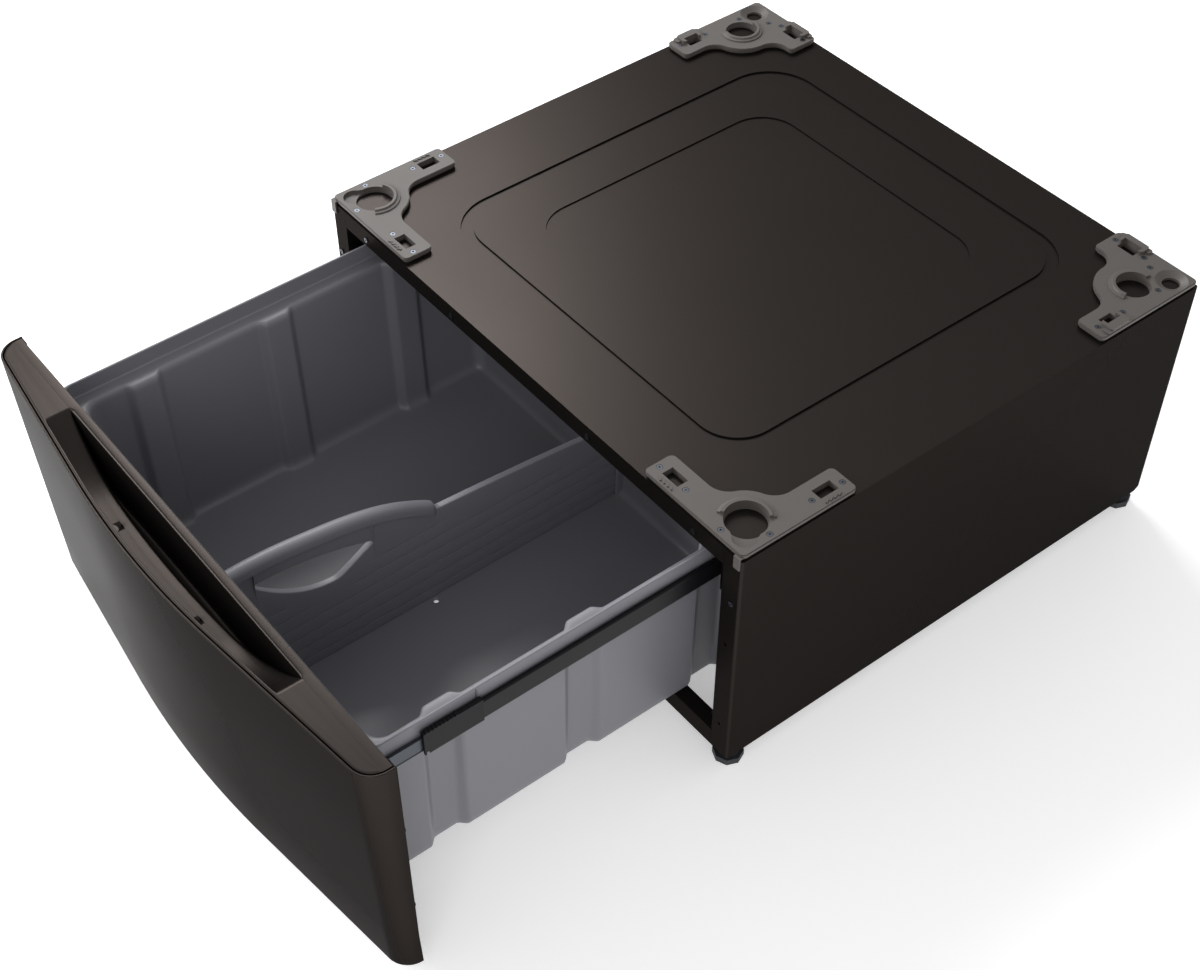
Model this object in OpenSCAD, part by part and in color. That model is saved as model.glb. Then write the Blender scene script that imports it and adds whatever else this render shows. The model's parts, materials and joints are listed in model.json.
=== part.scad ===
// Pedestal for a laundry machine: a low steel cabinet with four moulded corner seats for
// the machine's feet, and one deep storage drawer that runs on telescopic slides.
// The drawer is drawn part of the way out. Millimetres, +Z up, +X to the right and -Y to
// the front, as a person facing the drawer sees it. The origin is on the floor, under the
// middle of the outline with the drawer drawn out.

/* [Cabinet] */
// Width over the side panels
cab_w = 686; // [570:1:830]
// Depth from the front frame to the back panel
cab_d = 623; // [520:1:750]
// Height of the side panels
cab_h = 298; // [245:1:360]
// Thickness of the cabinet's steel sheet
sheet_t = 1.2; // [0.8:0.1:2]
// Width of the front frame's stiles
stile_w = 25; // [20:1:32]
// Height of the front frame's top rail
top_rail_h = 22; // [16:1:28]
// Height of the bottom rails
bottom_rail_h = 24; // [18:1:30]
// Radius of the sheet's outer bends
bend_r = 3; // [2.5:0.5:6]

/* [Top panel] */
// Width of the pressed groove that frames the top
groove_w = 14; // [8:1:20]
// Depth of the pressed groove
groove_depth = 2; // [1:0.5:4]
// Distance from the groove to the side edges
groove_side = 102; // [80:1:120]
// Distance from the groove to the front edge
groove_front = 73; // [60:1:90]
// Distance from the groove to the back edge
groove_back = 61; // [45:1:80]
// Corner radius of the groove's outer edge
groove_r = 60; // [30:1:80]
// Depth of the lowered middle field
field_depth = 1.5; // [0.5:0.5:3]
// Distance from the groove's outer edge to the lowered field at the sides
field_side = 67; // [40:1:90]
// Distance from the groove's outer edge to the lowered field at front and back
field_end = 73; // [40:1:90]

/* [Corner seats] */
// Height of the seats' plates over the top panel
seat_h = 7; // [5:0.5:10]
// Radius of the front seats' foot holes
front_hole_r = 20.5; // [17:0.5:22]
// Radius of the rear seats' foot holes
rear_hole_r = 17.5; // [14:0.5:19]
// Height of the round collars over the plates
collar_h = 3.5; // [2:0.5:6]

/* [Feet] */
// Height of the cabinet's bottom edge over the floor
foot_drop = 22; // [18:1:30]
// Radius of the eight-sided foot pads
pad_r = 16.5; // [14:0.5:20]
// Radius of the threaded stems
stem_r = 5; // [4:0.5:6]
// How far the feet can be screwed out
foot_travel = 18; // [10:1:24]

/* [Drawer] */
// How far the drawer is drawn out, from the cabinet's face to the front's back plane
drawer_out = 377; // [300:1:430]
// Depth of the bowed front at its middle
front_depth = 62; // [52:1:80]
// Radius of the middle of the front's bow
front_bow_r = 1110; // [950:10:1500]
// How far the front's face leans back towards its foot, degrees
front_lean = 1.7; // [0:0.1:2.5]
// Radius of the front's upright corners
front_corner_r = 25; // [18:1:30]
// Height of the front's top over the side panels' top
front_rise = 8.7; // [8:0.1:14]
// Depth of the hand scoop in the front's top
scoop_depth = 34; // [20:1:42]
// Half length of the hand scoop
scoop_half = 215; // [150:1:235]
// Wall of the moulded tub
tub_wall = 3; // [2:0.5:4]
// Draft of the tub's walls, degrees
tub_draft = 1; // [0.5:0.5:2]
// How far each pilaster stands into the tub
pilaster_depth = 7.5; // [4:0.5:10]
// Number of pilasters on each side of the tub
pilasters = 3; // [2:1:4]

/* [Divider] */
// Thickness of the divider's plate
divider_t = 8; // [5:1:10]
// Thickness of the divider's grip
grip_t = 16; // [12:1:20]
// Radius of the arc that the grip follows
grip_arc_r = 405; // [350:5:450]

/* [Slides] */
// Thickness of the slides' steel
slide_t = 1.2; // [1:0.1:1.5]
// Height of the drawer member of each slide
slide_h = 18; // [16:1:22]
// Diameter of the balls between two members
ball_d = 2; // [1.6:0.2:2.4]

/* [Hidden] */
$fn = 64;
big_fn = 720;       // fragments of the very large circles
eps = 0.5;          // how far a cutting shape runs past what it cuts
bite = 0.03;        // how far a blend crosses what it runs into

// Keeps a worked-out size to a thousandth, so that surfaces that share it meet exactly
function exact(size) = round(size * 1000) / 1000;

// Clearances
seam = 0.3;         // between pieces that lie against each other
run_gap = 0.05;     // between a ball and its race

// Colours
painted_steel = "#37322e";
seat_plastic = "#7c7672";
tub_plastic = "#55565c";
zinc = "#b9bec2";
black_plastic = "#1b1b1e";
dark_rubber = "#3a3d42";

// Cabinet
half_w = cab_w / 2;
side_inner = half_w - sheet_t;
mouth_half = half_w - stile_w;              // from the middle to a stile's inner edge
flange_in = 14;                             // depth of the stiffening flanges
rear_corner_r = 12;                         // lower rear corner of the side panels
outline_middle = (cab_d - drawer_out - front_depth) / 2;

// Feet and their brackets
foot_side = 17;                             // foot's axis to the side panel's outer face
foot_front = 18;                            // foot's axis to the cabinet's front
foot_back = 15;                             // foot's axis to the cabinet's back
pad_h = 8;
collar_of_pad = 3.5;
nut_h = 6;
nut_r = 9.8;
bracket_plate_t = 3;
bracket_size = 52;
boss_r = 10;
boss_h = 12;

// Seats: u runs inwards from the side edge and v inwards from the front or back edge
seat_inset = 1;                             // seat's outline to the cabinet's edge
seat_step = 3;                              // height of the set-back layer under the plate
seat_step_in = 2;                           // how far that layer is set back
seat_corner_r = 6;
seat_edge = 0.8;                            // step round the top edge of a seat's plate
hood_h = 4;                                 // height of the walls beside the rear windows
front_arm = 142.5;
front_arm_w = 36;
front_hole = [33.4, 33.4];
front_lobe_r = 38.5;
front_fillet_r = 24;
front_screws = [[135.9, 14.5], [97.3, 14.5], [38.5, 6.8], [6.8, 38.5], [14.5, 97.3], [14.5, 135.9]];
rear_arm_u = 106;
rear_arm_v = 144;
rear_arm_u_w = 40;
rear_arm_v_w = 36;
rear_hole = [36.5, 58];
rear_lobe_r = 40;
rear_fillet_r = 20;
small_hole = [18, 21];
small_hole_r = 9.3;
rear_screws = [[98.5, 14.8], [59.7, 14.5], [45.5, 21.9], [16.2, 43.6], [15.5, 97.7], [15.8, 134.4]];
screw_head_r = 3;
screw_shank_r = 1.6;
screw_hole_r = 1.8;
screw_head_h = 1.4;
screw_len = 14;
collar_gap = 1;                             // a hole's edge to the collar's inner wall
collar_t = 7.5;

// Slides, on the right-hand side: distances from the middle plane
slide_bay = 53;                             // tub's lip to the side panel's outer face
lip_x = half_w - slide_bay;
slide_z = cab_h - 57.3;                     // height of the slides' middle
race = ball_d + 2 * run_gap;
middle_h = slide_h + 2 * (race + slide_t);
outer_h = middle_h + 2 * (race + slide_t);
drawer_member_x = lip_x + seam;
drawer_member_w = 4;
middle_member_x = lip_x + 2;
middle_member_w = 4.2;
cabinet_member_x = lip_x + 3.6;
cabinet_member_w = 6;
mount_x = cabinet_member_x + cabinet_member_w + seam;
slide_start = 4;                            // cabinet's face to the closed slides' front end
slide_end_gap = 63;                         // slides' rear end to the cabinet's back
slide_len = cab_d - slide_start - slide_end_gap;
close_gap = 3;                              // front's back plane to the cabinet, closed
middle_out = 325;                           // how far the middle members are drawn out
spare_out = 44;                             // how far they can run out beyond that
ball_pitch = 15;
end_piece_len = 64;
end_piece_rise = 4.2;

// Drawer front, from its back plane at y = 0 forwards
front_top = cab_h + front_rise;
front_bottom = -4;
bow_y = front_bow_r - front_depth;          // the bow's centre
flank_x = exact(0.184 * cab_w);             // where the bow gives way to a straight flank
flank_y = exact(bow_y - sqrt(pow(front_bow_r, 2) - pow(flank_x, 2)) + bite);
flank_slope = exact(flank_x / front_bow_r);
flank_stretch = sqrt(1 + pow(flank_slope, 2));
corner_x = half_w - front_corner_r - bite;
corner_y = exact(flank_y + (corner_x - flank_x) * flank_slope + front_corner_r * flank_stretch);
touch_x = exact(corner_x + front_corner_r * flank_slope / flank_stretch);
hem_w = 2.2;
cap_inset = 4.6;
cap_t = 3;
cap_skirt_h = 18;
cap_lip_h = 8;
front_flange = 12;
scoop_wall = 7;                             // front's face to the scoop's front edge
scoop_back = 11.5;                          // back plane to the scoop's rear edge
scoop_shell = 2;
scoop_run = 110;                            // half length of the scoop's level floor
scoop_arc_start = 4;
slot_depth = 60;
slot_run = 150;
slot_half = scoop_half - 8;
slot_bulge = 15.5;
floor_hole_x = 74.5;
floor_hole = 5;

// Tub, from the drawer front's back plane at y = 0 backwards
lip_t = 3;
ledge_w = 17;                               // tub's wall to the lip's inner face
ledge_z = cab_h - 48.5;
lip_top_z = cab_h - 30;
tub_bottom_z = bottom_rail_h + 8;
tub_floor_z = tub_bottom_z + tub_wall;
floor_fillet = 15;
tub_back_gap = 90;                          // cabinet depth less the tub's length
tub_len = cab_d - tub_back_gap;
tub_front = 0.4;                            // lip's front face behind the back plane
tub_corner_r = 30;
brim = ledge_w + lip_t;
tub_mid_y = tub_front + tub_len / 2;
well_w = 2 * (lip_x - brim);                // the well's width and length at the ledge
well_len = tub_len - 2 * brim;
well_depth = ledge_z - tub_floor_z;
draft_in = exact(well_depth * tan(tub_draft));
knee = [-draft_in - floor_fillet, tub_floor_z + floor_fillet];  // centre of the floor's round
wall_lean = atan(draft_in / (ledge_z - tub_wall - knee[1]));
floor_lap = 5;
pilaster_pitch = 161 * tub_len / 533;
pilaster_first = 89 * tub_len / 533;
pilaster_base = 45;
pilaster_face = 27;
guide_t = 3;
guide_depth = 9;
lip_notch_y = 115;                          // the narrow slots in the tub's side lips
drain = [10.5, 250.5];
drain_r = 3;

// Divider
divider_foot = tub_floor_z + seam;
divider_rear_h = 104;
divider_mid_h = 123;
divider_gap = 0.6;
grip_apex_y = 47;
grip_apex_h = 191;                          // grip's highest point over the tub's floor
grip_centre = [grip_apex_y, tub_floor_z + grip_apex_h - grip_arc_r];
grip_end_y = 265;
grip_finger = 26;                           // grip's top to the hand hole
hand_hole_half = 65;
hand_hole_drop = 32;
hand_hole_mid_y = 120;
hand_rim_w = 5;
rim_proud = 2.5;                            // hand hole's rim to the divider's faces
divider_arch_r = 1650;
divider_grooves = 6;

// Places the cabinet's own frame: y = 0 is its face and z = 0 its bottom edge
module in_cabinet() {
  translate([0, -outline_middle, foot_drop]) children();
}

// Places the drawer's own frame: y = 0 is the back plane of the drawer's front
module in_drawer() {
  in_cabinet() translate([0, -drawer_out, 0]) children();
}

// Keeps a right-hand shape as it is, or mirrors it for the left
module on_side(side) {
  if (side > 0) children();
  else mirror([1, 0, 0]) children();
}

module rounded_rect(w, d, r) {
  square([w - 2 * r, d], center = true);
  square([w, d - 2 * r], center = true);
  for (sx = [-1, 1], sy = [-1, 1])
    translate([sx * (w / 2 - r), sy * (d / 2 - r)]) circle(r);
}

// A rounded rectangle from corner to corner, less an inset all round
module rounded_block(w, d, r, inset) {
  translate([w / 2, d / 2]) rounded_rect(w - 2 * inset, d - 2 * inset, max(r - inset, 1));
}

// Carries a profile, x outwards and y up, around a w by d rectangle with round corners
module sweep_around(w, d, r) {
  for (k = [0:3]) {
    across = (k % 2 == 0) ? w : d;
    along = (k % 2 == 0) ? d : w;
    rotate([0, 0, 90 * k]) {
      translate([across / 2, along / 2 - r, 0])
        rotate([90, 0, 0]) linear_extrude(along - 2 * r) children();
      translate([across / 2 - r, along / 2 - r, 0])
        rotate_extrude(angle = 90) translate([r, 0]) children();
    }
  }
}

// Runs a profile, x across and y up, from y = from backwards for a length
module along_y(from, length) {
  translate([0, from + length, 0]) rotate([90, 0, 0]) linear_extrude(length) children();
}

// Sets a profile drawn as y along and z up on the plane x = at, with a thickness to +X
module across_x(at, thickness) {
  translate([at, 0, 0]) rotate([90, 0, 90]) linear_extrude(thickness) children();
}

// ---- Cabinet ----

module top_panel() {
  ring_w = cab_w - 2 * groove_side;
  ring_d = cab_d - groove_front - groove_back;
  ring_y = groove_front + ring_d / 2;
  field_w = ring_w - 2 * field_side;
  field_d = ring_d - 2 * field_end;
  field_r = max(groove_r - 15, 12);
  color(painted_steel) in_cabinet() difference() {
    union() {
      translate([0, cab_d / 2, cab_h - sheet_t])
        linear_extrude(sheet_t) rounded_rect(cab_w, cab_d, bend_r);
      translate([0, ring_y, cab_h - groove_depth - sheet_t])
        linear_extrude(groove_depth)
          rounded_rect(ring_w + 2 * sheet_t, ring_d + 2 * sheet_t, groove_r + sheet_t);
      top_rail();
    }
    translate([0, ring_y, cab_h - groove_depth]) linear_extrude(groove_depth + eps)
      difference() {
        rounded_rect(ring_w, ring_d, groove_r);
        rounded_rect(ring_w - 2 * groove_w, ring_d - 2 * groove_w, groove_r - groove_w);
      }
    translate([0, ring_y, cab_h - groove_depth - sheet_t - eps])
      linear_extrude(groove_depth + eps) difference() {
        inner_w = ring_w - 2 * (groove_w + sheet_t);
        rounded_rect(inner_w, inner_w + ring_d - ring_w, groove_r - groove_w - sheet_t);
        rounded_rect(field_w + 2 * sheet_t, field_d + 2 * sheet_t, field_r + sheet_t);
      }
    translate([0, ring_y, cab_h - groove_depth - sheet_t - eps])
      linear_extrude(groove_depth + eps - field_depth)
        rounded_rect(field_w + 4 * sheet_t, field_d + 4 * sheet_t, field_r + 2 * sheet_t);
    translate([0, ring_y, cab_h - field_depth]) linear_extrude(field_depth + eps)
      rounded_rect(field_w, field_d, field_r);
    at_every_corner() seat_screw_places($rear)
      translate([0, 0, -sheet_t - eps]) cylinder(r = screw_hole_r, h = sheet_t + 2 * eps);
    frame_screw_places() translate([0, -eps, 0])
      rotate([-90, 0, 0]) cylinder(r = screw_hole_r, h = sheet_t + 2 * eps);
  }
}

// The rail that closes the frame's top, folded down from the panel's front edge
module top_rail() {
  rail_w = 2 * (mouth_half - seam);
  translate([-rail_w / 2, 0, cab_h - top_rail_h]) cube([rail_w, sheet_t, top_rail_h]);
  translate([-rail_w / 2, 0, cab_h - top_rail_h]) cube([rail_w, flange_in, sheet_t]);
}

// Plan of a side panel: the wall with its stile and rear flange, bent from one sheet
module side_plan() {
  intersection() {
    translate([0, cab_d / 2]) difference() {
      rounded_rect(cab_w, cab_d, bend_r);
      rounded_rect(cab_w - 2 * sheet_t, cab_d - 2 * sheet_t, bend_r - sheet_t);
    }
    translate([mouth_half, 0]) square([stile_w, cab_d]);
  }
  translate([mouth_half, 0]) square([sheet_t, flange_in]);
}

module side_panel(side) {
  inner_h = cab_h - sheet_t;
  flange_w = stile_w + 6;
  color(painted_steel) in_cabinet() on_side(side) difference() {
    union() {
      linear_extrude(inner_h) side_plan();
      translate([half_w - flange_w, sheet_t, 0])
        cube([flange_w - sheet_t, cab_d - 2 * sheet_t, sheet_t]);
      translate([half_w - flange_in, sheet_t, inner_h - sheet_t])
        cube([flange_in - sheet_t, cab_d - 2 * sheet_t, sheet_t]);
    }
    across_x(side_inner - eps, sheet_t + 2 * eps) rear_corner_cut();
    translate([mouth_half - eps, sheet_t, -eps])
      cube([sheet_t + 2 * eps, flange_in, sheet_t + boss_h + 2 + eps]);
    for (y = [foot_front, cab_d - foot_back])
      translate([half_w - foot_side, y, -eps]) cylinder(r = stem_r + 2, h = sheet_t + 2 * eps);
    for (z = [0.15, 0.57] * cab_h)
      translate([half_w - stile_w / 2 - 2, -eps, z])
        rotate([-90, 0, 0]) cylinder(r = 2, h = sheet_t + 2 * eps);
    frame_screw_places() translate([0, -eps, 0])
      rotate([-90, 0, 0]) cylinder(r = screw_hole_r, h = sheet_t + 2 * eps);
    at_every_corner() seat_screw_places($rear)
      translate([0, 0, -3 * sheet_t]) cylinder(r = screw_hole_r, h = 3 * sheet_t + eps);
  }
}

// What rounding takes off the lower rear corner of a side panel
module rear_corner_cut() {
  difference() {
    translate([cab_d - rear_corner_r, -eps]) square(rear_corner_r + eps);
    translate([cab_d - rear_corner_r, rear_corner_r]) circle(rear_corner_r);
  }
}

module side_panel_left() side_panel(-1);
module side_panel_right() side_panel(1);

// A plain sheet inside the side panels' rear flanges, stiffened by two pressed ribs
module back_panel() {
  panel_w = 2 * (half_w - bend_r);
  panel_h = cab_h - 3 * (sheet_t + seam);
  rib_h = 10;
  color(painted_steel) in_cabinet()
    translate([0, cab_d - sheet_t - seam, sheet_t + seam]) {
      translate([-panel_w / 2, -sheet_t, 0]) cube([panel_w, sheet_t, panel_h]);
      for (z = [0.35, 0.7] * cab_h)
        translate([0, 0, z]) rotate([90, 0, 0]) linear_extrude(sheet_t + 3)
          rounded_rect(panel_w - 120, rib_h, rib_h / 2 - 0.1);
    }
}

// A folded channel between the side panels, open to the inside of the cabinet
module base_rail(length, depth) {
  translate([-length / 2, 0, 0]) {
    cube([length, sheet_t, bottom_rail_h]);
    cube([length, depth, sheet_t]);
    translate([0, 0, bottom_rail_h - sheet_t]) cube([length, flange_in, sheet_t]);
  }
}

module base_rail_front() {
  color(painted_steel) in_cabinet() base_rail(2 * (mouth_half - 6 - seam), 30);
  color(painted_steel) in_cabinet() for (s = [-1, 1])
    translate([s * (mouth_half - 3.5 - seam), sheet_t / 2, bottom_rail_h / 2])
      cube([7, sheet_t, bottom_rail_h], center = true);
}

module base_rail_rear() {
  rail_y = cab_d - 2 * (sheet_t + seam);
  color(painted_steel) in_cabinet() translate([0, rail_y, 0])
    mirror([0, 1, 0]) base_rail(2 * (mouth_half - 6 - seam), 30);
}

// ---- Feet ----

// Places a foot's axis, with z = 0 at the cabinet's bottom edge
module at_foot(side, rear) {
  in_cabinet() on_side(side)
    translate([half_w - foot_side, rear ? cab_d - foot_back : foot_front, 0]) children();
}

// A plate on the side panel's lower flange, with a boss that takes the foot's thread
module foot_bracket(side, rear) {
  reach = rear ? foot_back - 3 * (sheet_t + seam) : foot_front - bend_r;
  color(zinc) at_foot(side, rear) mirror([0, rear ? 1 : 0, 0]) translate([0, 0, sheet_t])
    difference() {
      union() {
        translate([foot_side - sheet_t - seam - bracket_size, -reach, 0])
          cube([bracket_size, bracket_size, bracket_plate_t]);
        cylinder(r = boss_r, h = boss_h);
      }
      translate([0, 0, -eps]) cylinder(r = stem_r + 0.1, h = boss_h + 2 * eps);
    }
}

module foot_bracket_front_left() foot_bracket(-1, false);
module foot_bracket_front_right() foot_bracket(1, false);
module foot_bracket_rear_left() foot_bracket(-1, true);
module foot_bracket_rear_right() foot_bracket(1, true);

// An eight-sided pad with a round shoulder, hollow round the stem's hexagon
module foot_pad(side, rear) {
  color(dark_rubber) at_foot(side, rear) difference() {
    union() {
      translate([0, 0, -foot_drop]) cylinder(r = pad_r, h = pad_h, $fn = 8);
      translate([0, 0, pad_h - foot_drop]) cylinder(r = pad_r - 5, h = collar_of_pad);
    }
    translate([0, 0, 4 - foot_drop]) cylinder(r = stem_r + seam, h = pad_h + collar_of_pad);
  }
}

module foot_pad_front_left() foot_pad(-1, false);
module foot_pad_front_right() foot_pad(1, false);
module foot_pad_rear_left() foot_pad(-1, true);
module foot_pad_rear_right() foot_pad(1, true);

module foot_stem(side, rear) {
  stem_foot = 4 + seam - foot_drop;
  stem_top = foot_travel + boss_h - 2;
  color(zinc) at_foot(side, rear) {
    translate([0, 0, stem_foot]) cylinder(r = stem_r, h = stem_top - stem_foot);
    translate([0, 0, pad_h + collar_of_pad + seam - foot_drop]) cylinder(r = stem_r + 4, h = 1.5);
  }
}

module foot_stem_front_left() foot_stem(-1, false);
module foot_stem_front_right() foot_stem(1, false);
module foot_stem_rear_left() foot_stem(-1, true);
module foot_stem_rear_right() foot_stem(1, true);

// Hexagon nuts that lock the stems against the cabinet's bottom flange
module lock_nuts() {
  color(zinc) for (side = [-1, 1], rear = [false, true])
    at_foot(side, rear) translate([0, 0, -nut_h - seam]) difference() {
      cylinder(r = nut_r, h = nut_h, $fn = 6);
      translate([0, 0, -eps]) cylinder(r = stem_r + 0.1, h = nut_h + 2 * eps);
    }
}

// ---- Corner seats ----

// Places a seat's frame at a corner of the top panel: x inwards from the side edge and
// y inwards from the front or back edge
module at_corner(side, rear) {
  translate([side * (half_w - seat_inset), rear ? cab_d - seat_inset : seat_inset, cab_h])
    mirror([side > 0 ? 1 : 0, 0, 0]) mirror([0, rear ? 1 : 0, 0]) children();
}

module at_every_corner() {
  for (side = [-1, 1], $rear = [false, true]) at_corner(side, $rear) children();
}

module seat_screw_places(rear) {
  for (p = rear ? rear_screws : front_screws) translate([p[0], p[1], 0]) children();
}

// Outline of a seat: two arms, a round lobe about the foot hole and hollow fillets
// between them, all moved in by inset. The fillets bite a hair into what they run into.
module seat_plan(arm_u, arm_u_w, arm_v, arm_v_w, hole, lobe_r, fillet_r, inset) {
  reach = lobe_r + fillet_r - bite;
  rise_u = arm_u_w + fillet_r - bite;
  rise_v = arm_v_w + fillet_r - bite;
  fillet_u = [hole[0] + sqrt(pow(reach, 2) - pow(rise_u - hole[1], 2)), rise_u];
  fillet_v = [rise_v, hole[1] + sqrt(pow(reach, 2) - pow(rise_v - hole[0], 2))];
  rounded_block(arm_u, arm_u_w, seat_corner_r, inset);
  rounded_block(arm_v_w, arm_v, seat_corner_r, inset);
  intersection() {
    translate(hole) circle(lobe_r - inset);
    translate([inset, inset]) square([arm_u, arm_v]);
  }
  difference() {
    polygon([hole, [fillet_u[0], arm_u_w / 2], fillet_u]);
    translate(fillet_u) circle(fillet_r + inset);
  }
  difference() {
    polygon([hole, [arm_v_w / 2, fillet_v[1]], fillet_v]);
    translate(fillet_v) circle(fillet_r + inset);
  }
}

// A C-shaped collar round a foot hole, open towards the outer corner, with a step outside
module seat_collar(hole, hole_r, from, to) {
  inner = hole_r + collar_gap;
  outer = inner + collar_t;
  step = collar_t * 0.45;
  translate([hole[0], hole[1], seat_h]) rotate([0, 0, from])
    rotate_extrude(angle = to - from)
      polygon([[inner - 0.5, -1], [outer, -1], [outer - 0.5, collar_h * 0.4],
               [outer - step, collar_h * 0.5], [outer - step - 0.6, collar_h - 0.5],
               [outer - step - 1.1, collar_h], [inner - 0.5, collar_h]]);
}

// What a foot hole takes out: the seat's bore and a wider ring above it
module foot_hole(hole, hole_r) {
  translate([hole[0], hole[1], -eps]) cylinder(r = hole_r, h = seat_h + 2 * eps);
  translate([hole[0], hole[1], seat_step])
    cylinder(r = hole_r + collar_gap, h = seat_h + collar_h);
}

// A dished pocket that runs from a foot hole towards the outer corner
module corner_pocket(hole, hole_r, pocket_at, pocket_r) {
  aside = [-1, 1] / sqrt(2);
  from = (pocket_r - 0.5) * aside;
  to = hole_r * aside;
  translate([0, 0, seat_step]) linear_extrude(seat_h) {
    translate(pocket_at) circle(pocket_r);
    polygon([pocket_at + from, hole + to, hole - to, pocket_at - from]);
  }
}

module seat_screw_cuts(rear) {
  seat_screw_places(rear) {
    translate([0, 0, -eps]) cylinder(r = screw_hole_r, h = seat_h + 2 * eps);
    translate([0, 0, seat_h - screw_head_h]) cylinder(r = screw_head_r + 0.4, h = seat_h);
  }
}

// Short ribs that stiffen the plate between a window and the seat's outer edge
module window_ribs(at, length) {
  for (k = [0:3])
    translate([at[0] + k * length / 3, at[1], seat_h]) rotate([0, 0, 30])
      translate([0, -0.9, 0]) cube([5.2, 1.8, 1.2]);
}

// A short hook that laps over the front frame's upper corner
module seat_hook() {
  hook_w = 8;
  hook_t = 1.7;
  translate([1, -seat_inset - seam - hook_t, -11]) cube([hook_w, hook_t, 11 + seat_step + 1.5]);
  translate([1, -seat_inset - seam - hook_t, seat_step]) cube([hook_w, seat_inset + 6, 1.5]);
}

module front_seat() {
  window = [22.6, 13.2];
  window_at = [105.2, 10.8];
  difference() {
    union() {
      linear_extrude(seat_step) seat_plan(front_arm, front_arm_w, front_arm, front_arm_w,
        front_hole, front_lobe_r, front_fillet_r, seat_step_in);
      translate([0, 0, seat_step]) linear_extrude(seat_h - seat_step - seat_edge)
        seat_plan(front_arm, front_arm_w, front_arm, front_arm_w,
          front_hole, front_lobe_r, front_fillet_r, 0);
      translate([0, 0, seat_step]) linear_extrude(seat_h - seat_step)
        seat_plan(front_arm, front_arm_w, front_arm, front_arm_w,
          front_hole, front_lobe_r, front_fillet_r, seat_edge);
      seat_collar(front_hole, front_hole_r, -32, 122);
      window_ribs([window_at[0], 3.6], 16);
      mirror([1, -1, 0]) window_ribs([window_at[0], 3.6], 16);
    }
    foot_hole(front_hole, front_hole_r);
    corner_pocket(front_hole, front_hole_r, [17.2, 17.2], 12);
    translate([window_at[0], window_at[1], -eps]) cube([window[0], window[1], 2 * seat_h]);
    translate([window_at[1], window_at[0], -eps]) cube([window[1], window[0], 2 * seat_h]);
    seat_screw_cuts(false);
  }
  seat_hook();
}

// A raised wall along the outer side of a window, with a cheek at each end of it
module window_hood(at, size) {
  wall = 5;
  cheek = at[1] + size[1] * 0.4;
  translate([at[0] - wall, 0.8, seat_h - 1]) linear_extrude(1 + hood_h) difference() {
    rounded_block(size[0] + 2 * wall, cheek, 3.5, 0);
    translate([wall - 0.6, at[1] - 1.6]) square([size[0] + 1.2, cheek]);
  }
  translate([at[0] - 2 * wall, 0.8, seat_h - 1]) linear_extrude(1 + hood_h / 2)
    rounded_block(size[0] + 4 * wall, at[1] - 2, 3, 0);
}

module rear_seat() {
  window_u = [[69.5, 9], [21.5, 12.3]];
  window_v = [[11.5, 108.5], [11.5, 17.5]];
  difference() {
    union() {
      linear_extrude(seat_step) seat_plan(rear_arm_u, rear_arm_u_w, rear_arm_v, rear_arm_v_w,
        rear_hole, rear_lobe_r, rear_fillet_r, seat_step_in);
      translate([0, 0, seat_step]) linear_extrude(seat_h - seat_step - seat_edge)
        seat_plan(rear_arm_u, rear_arm_u_w, rear_arm_v, rear_arm_v_w,
          rear_hole, rear_lobe_r, rear_fillet_r, 0);
      translate([0, 0, seat_step]) linear_extrude(seat_h - seat_step)
        seat_plan(rear_arm_u, rear_arm_u_w, rear_arm_v, rear_arm_v_w,
          rear_hole, rear_lobe_r, rear_fillet_r, seat_edge);
      seat_collar(rear_hole, rear_hole_r, -92, 108);
      window_hood(window_u[0], window_u[1]);
      mirror([1, -1, 0]) window_hood([window_v[0][1], window_v[0][0]],
        [window_v[1][1], window_v[1][0]]);
    }
    foot_hole(rear_hole, rear_hole_r);
    translate([small_hole[0], small_hole[1], -eps])
      cylinder(r = small_hole_r, h = seat_h + 2 * eps);
    translate([small_hole[0], small_hole[1], seat_step])
      cylinder(r1 = small_hole_r + 0.8, r2 = small_hole_r + 8, h = seat_h - seat_step + 0.1);
    for (w = [window_u, window_v])
      translate([w[0][0], w[0][1], -eps]) cube([w[1][0], w[1][1], 3 * seat_h]);
    seat_screw_cuts(true);
  }
}

module corner_seat(side, rear) {
  color(seat_plastic) in_cabinet() at_corner(side, rear) {
    if (rear) rear_seat();
    else front_seat();
  }
}

module corner_seat_front_left() corner_seat(-1, false);
module corner_seat_front_right() corner_seat(1, false);
module corner_seat_rear_left() corner_seat(-1, true);
module corner_seat_rear_right() corner_seat(1, true);

// A screw that hangs down from its head's underside at z = 0
module screw(head_h, length) {
  difference() {
    cylinder(r = screw_head_r, h = head_h);
    translate([0, 0, head_h - 0.8]) cylinder(r = 1.1, h = 1);
  }
  translate([0, 0, -length]) cylinder(r = screw_shank_r, h = length);
}

module seat_screws() {
  color(zinc) in_cabinet() at_every_corner() seat_screw_places($rear)
    translate([0, 0, seat_h - screw_head_h]) screw(screw_head_h - 0.2, screw_len);
}

// Screws of the front frame: four along the top rail and one in each stile
module frame_screw_places() {
  rail_x = [0.168, 0.402] * cab_w;
  for (s = [-1, 1]) {
    for (x = rail_x) translate([s * x, 0, cab_h - 13]) children();
    translate([s * (half_w - 10), 0, cab_h - 64.4]) children();
  }
}

module frame_screws() {
  color(zinc) in_cabinet() frame_screw_places() rotate([90, 0, 0]) screw(1.4, 8);
}

// ---- Slides ----

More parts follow.
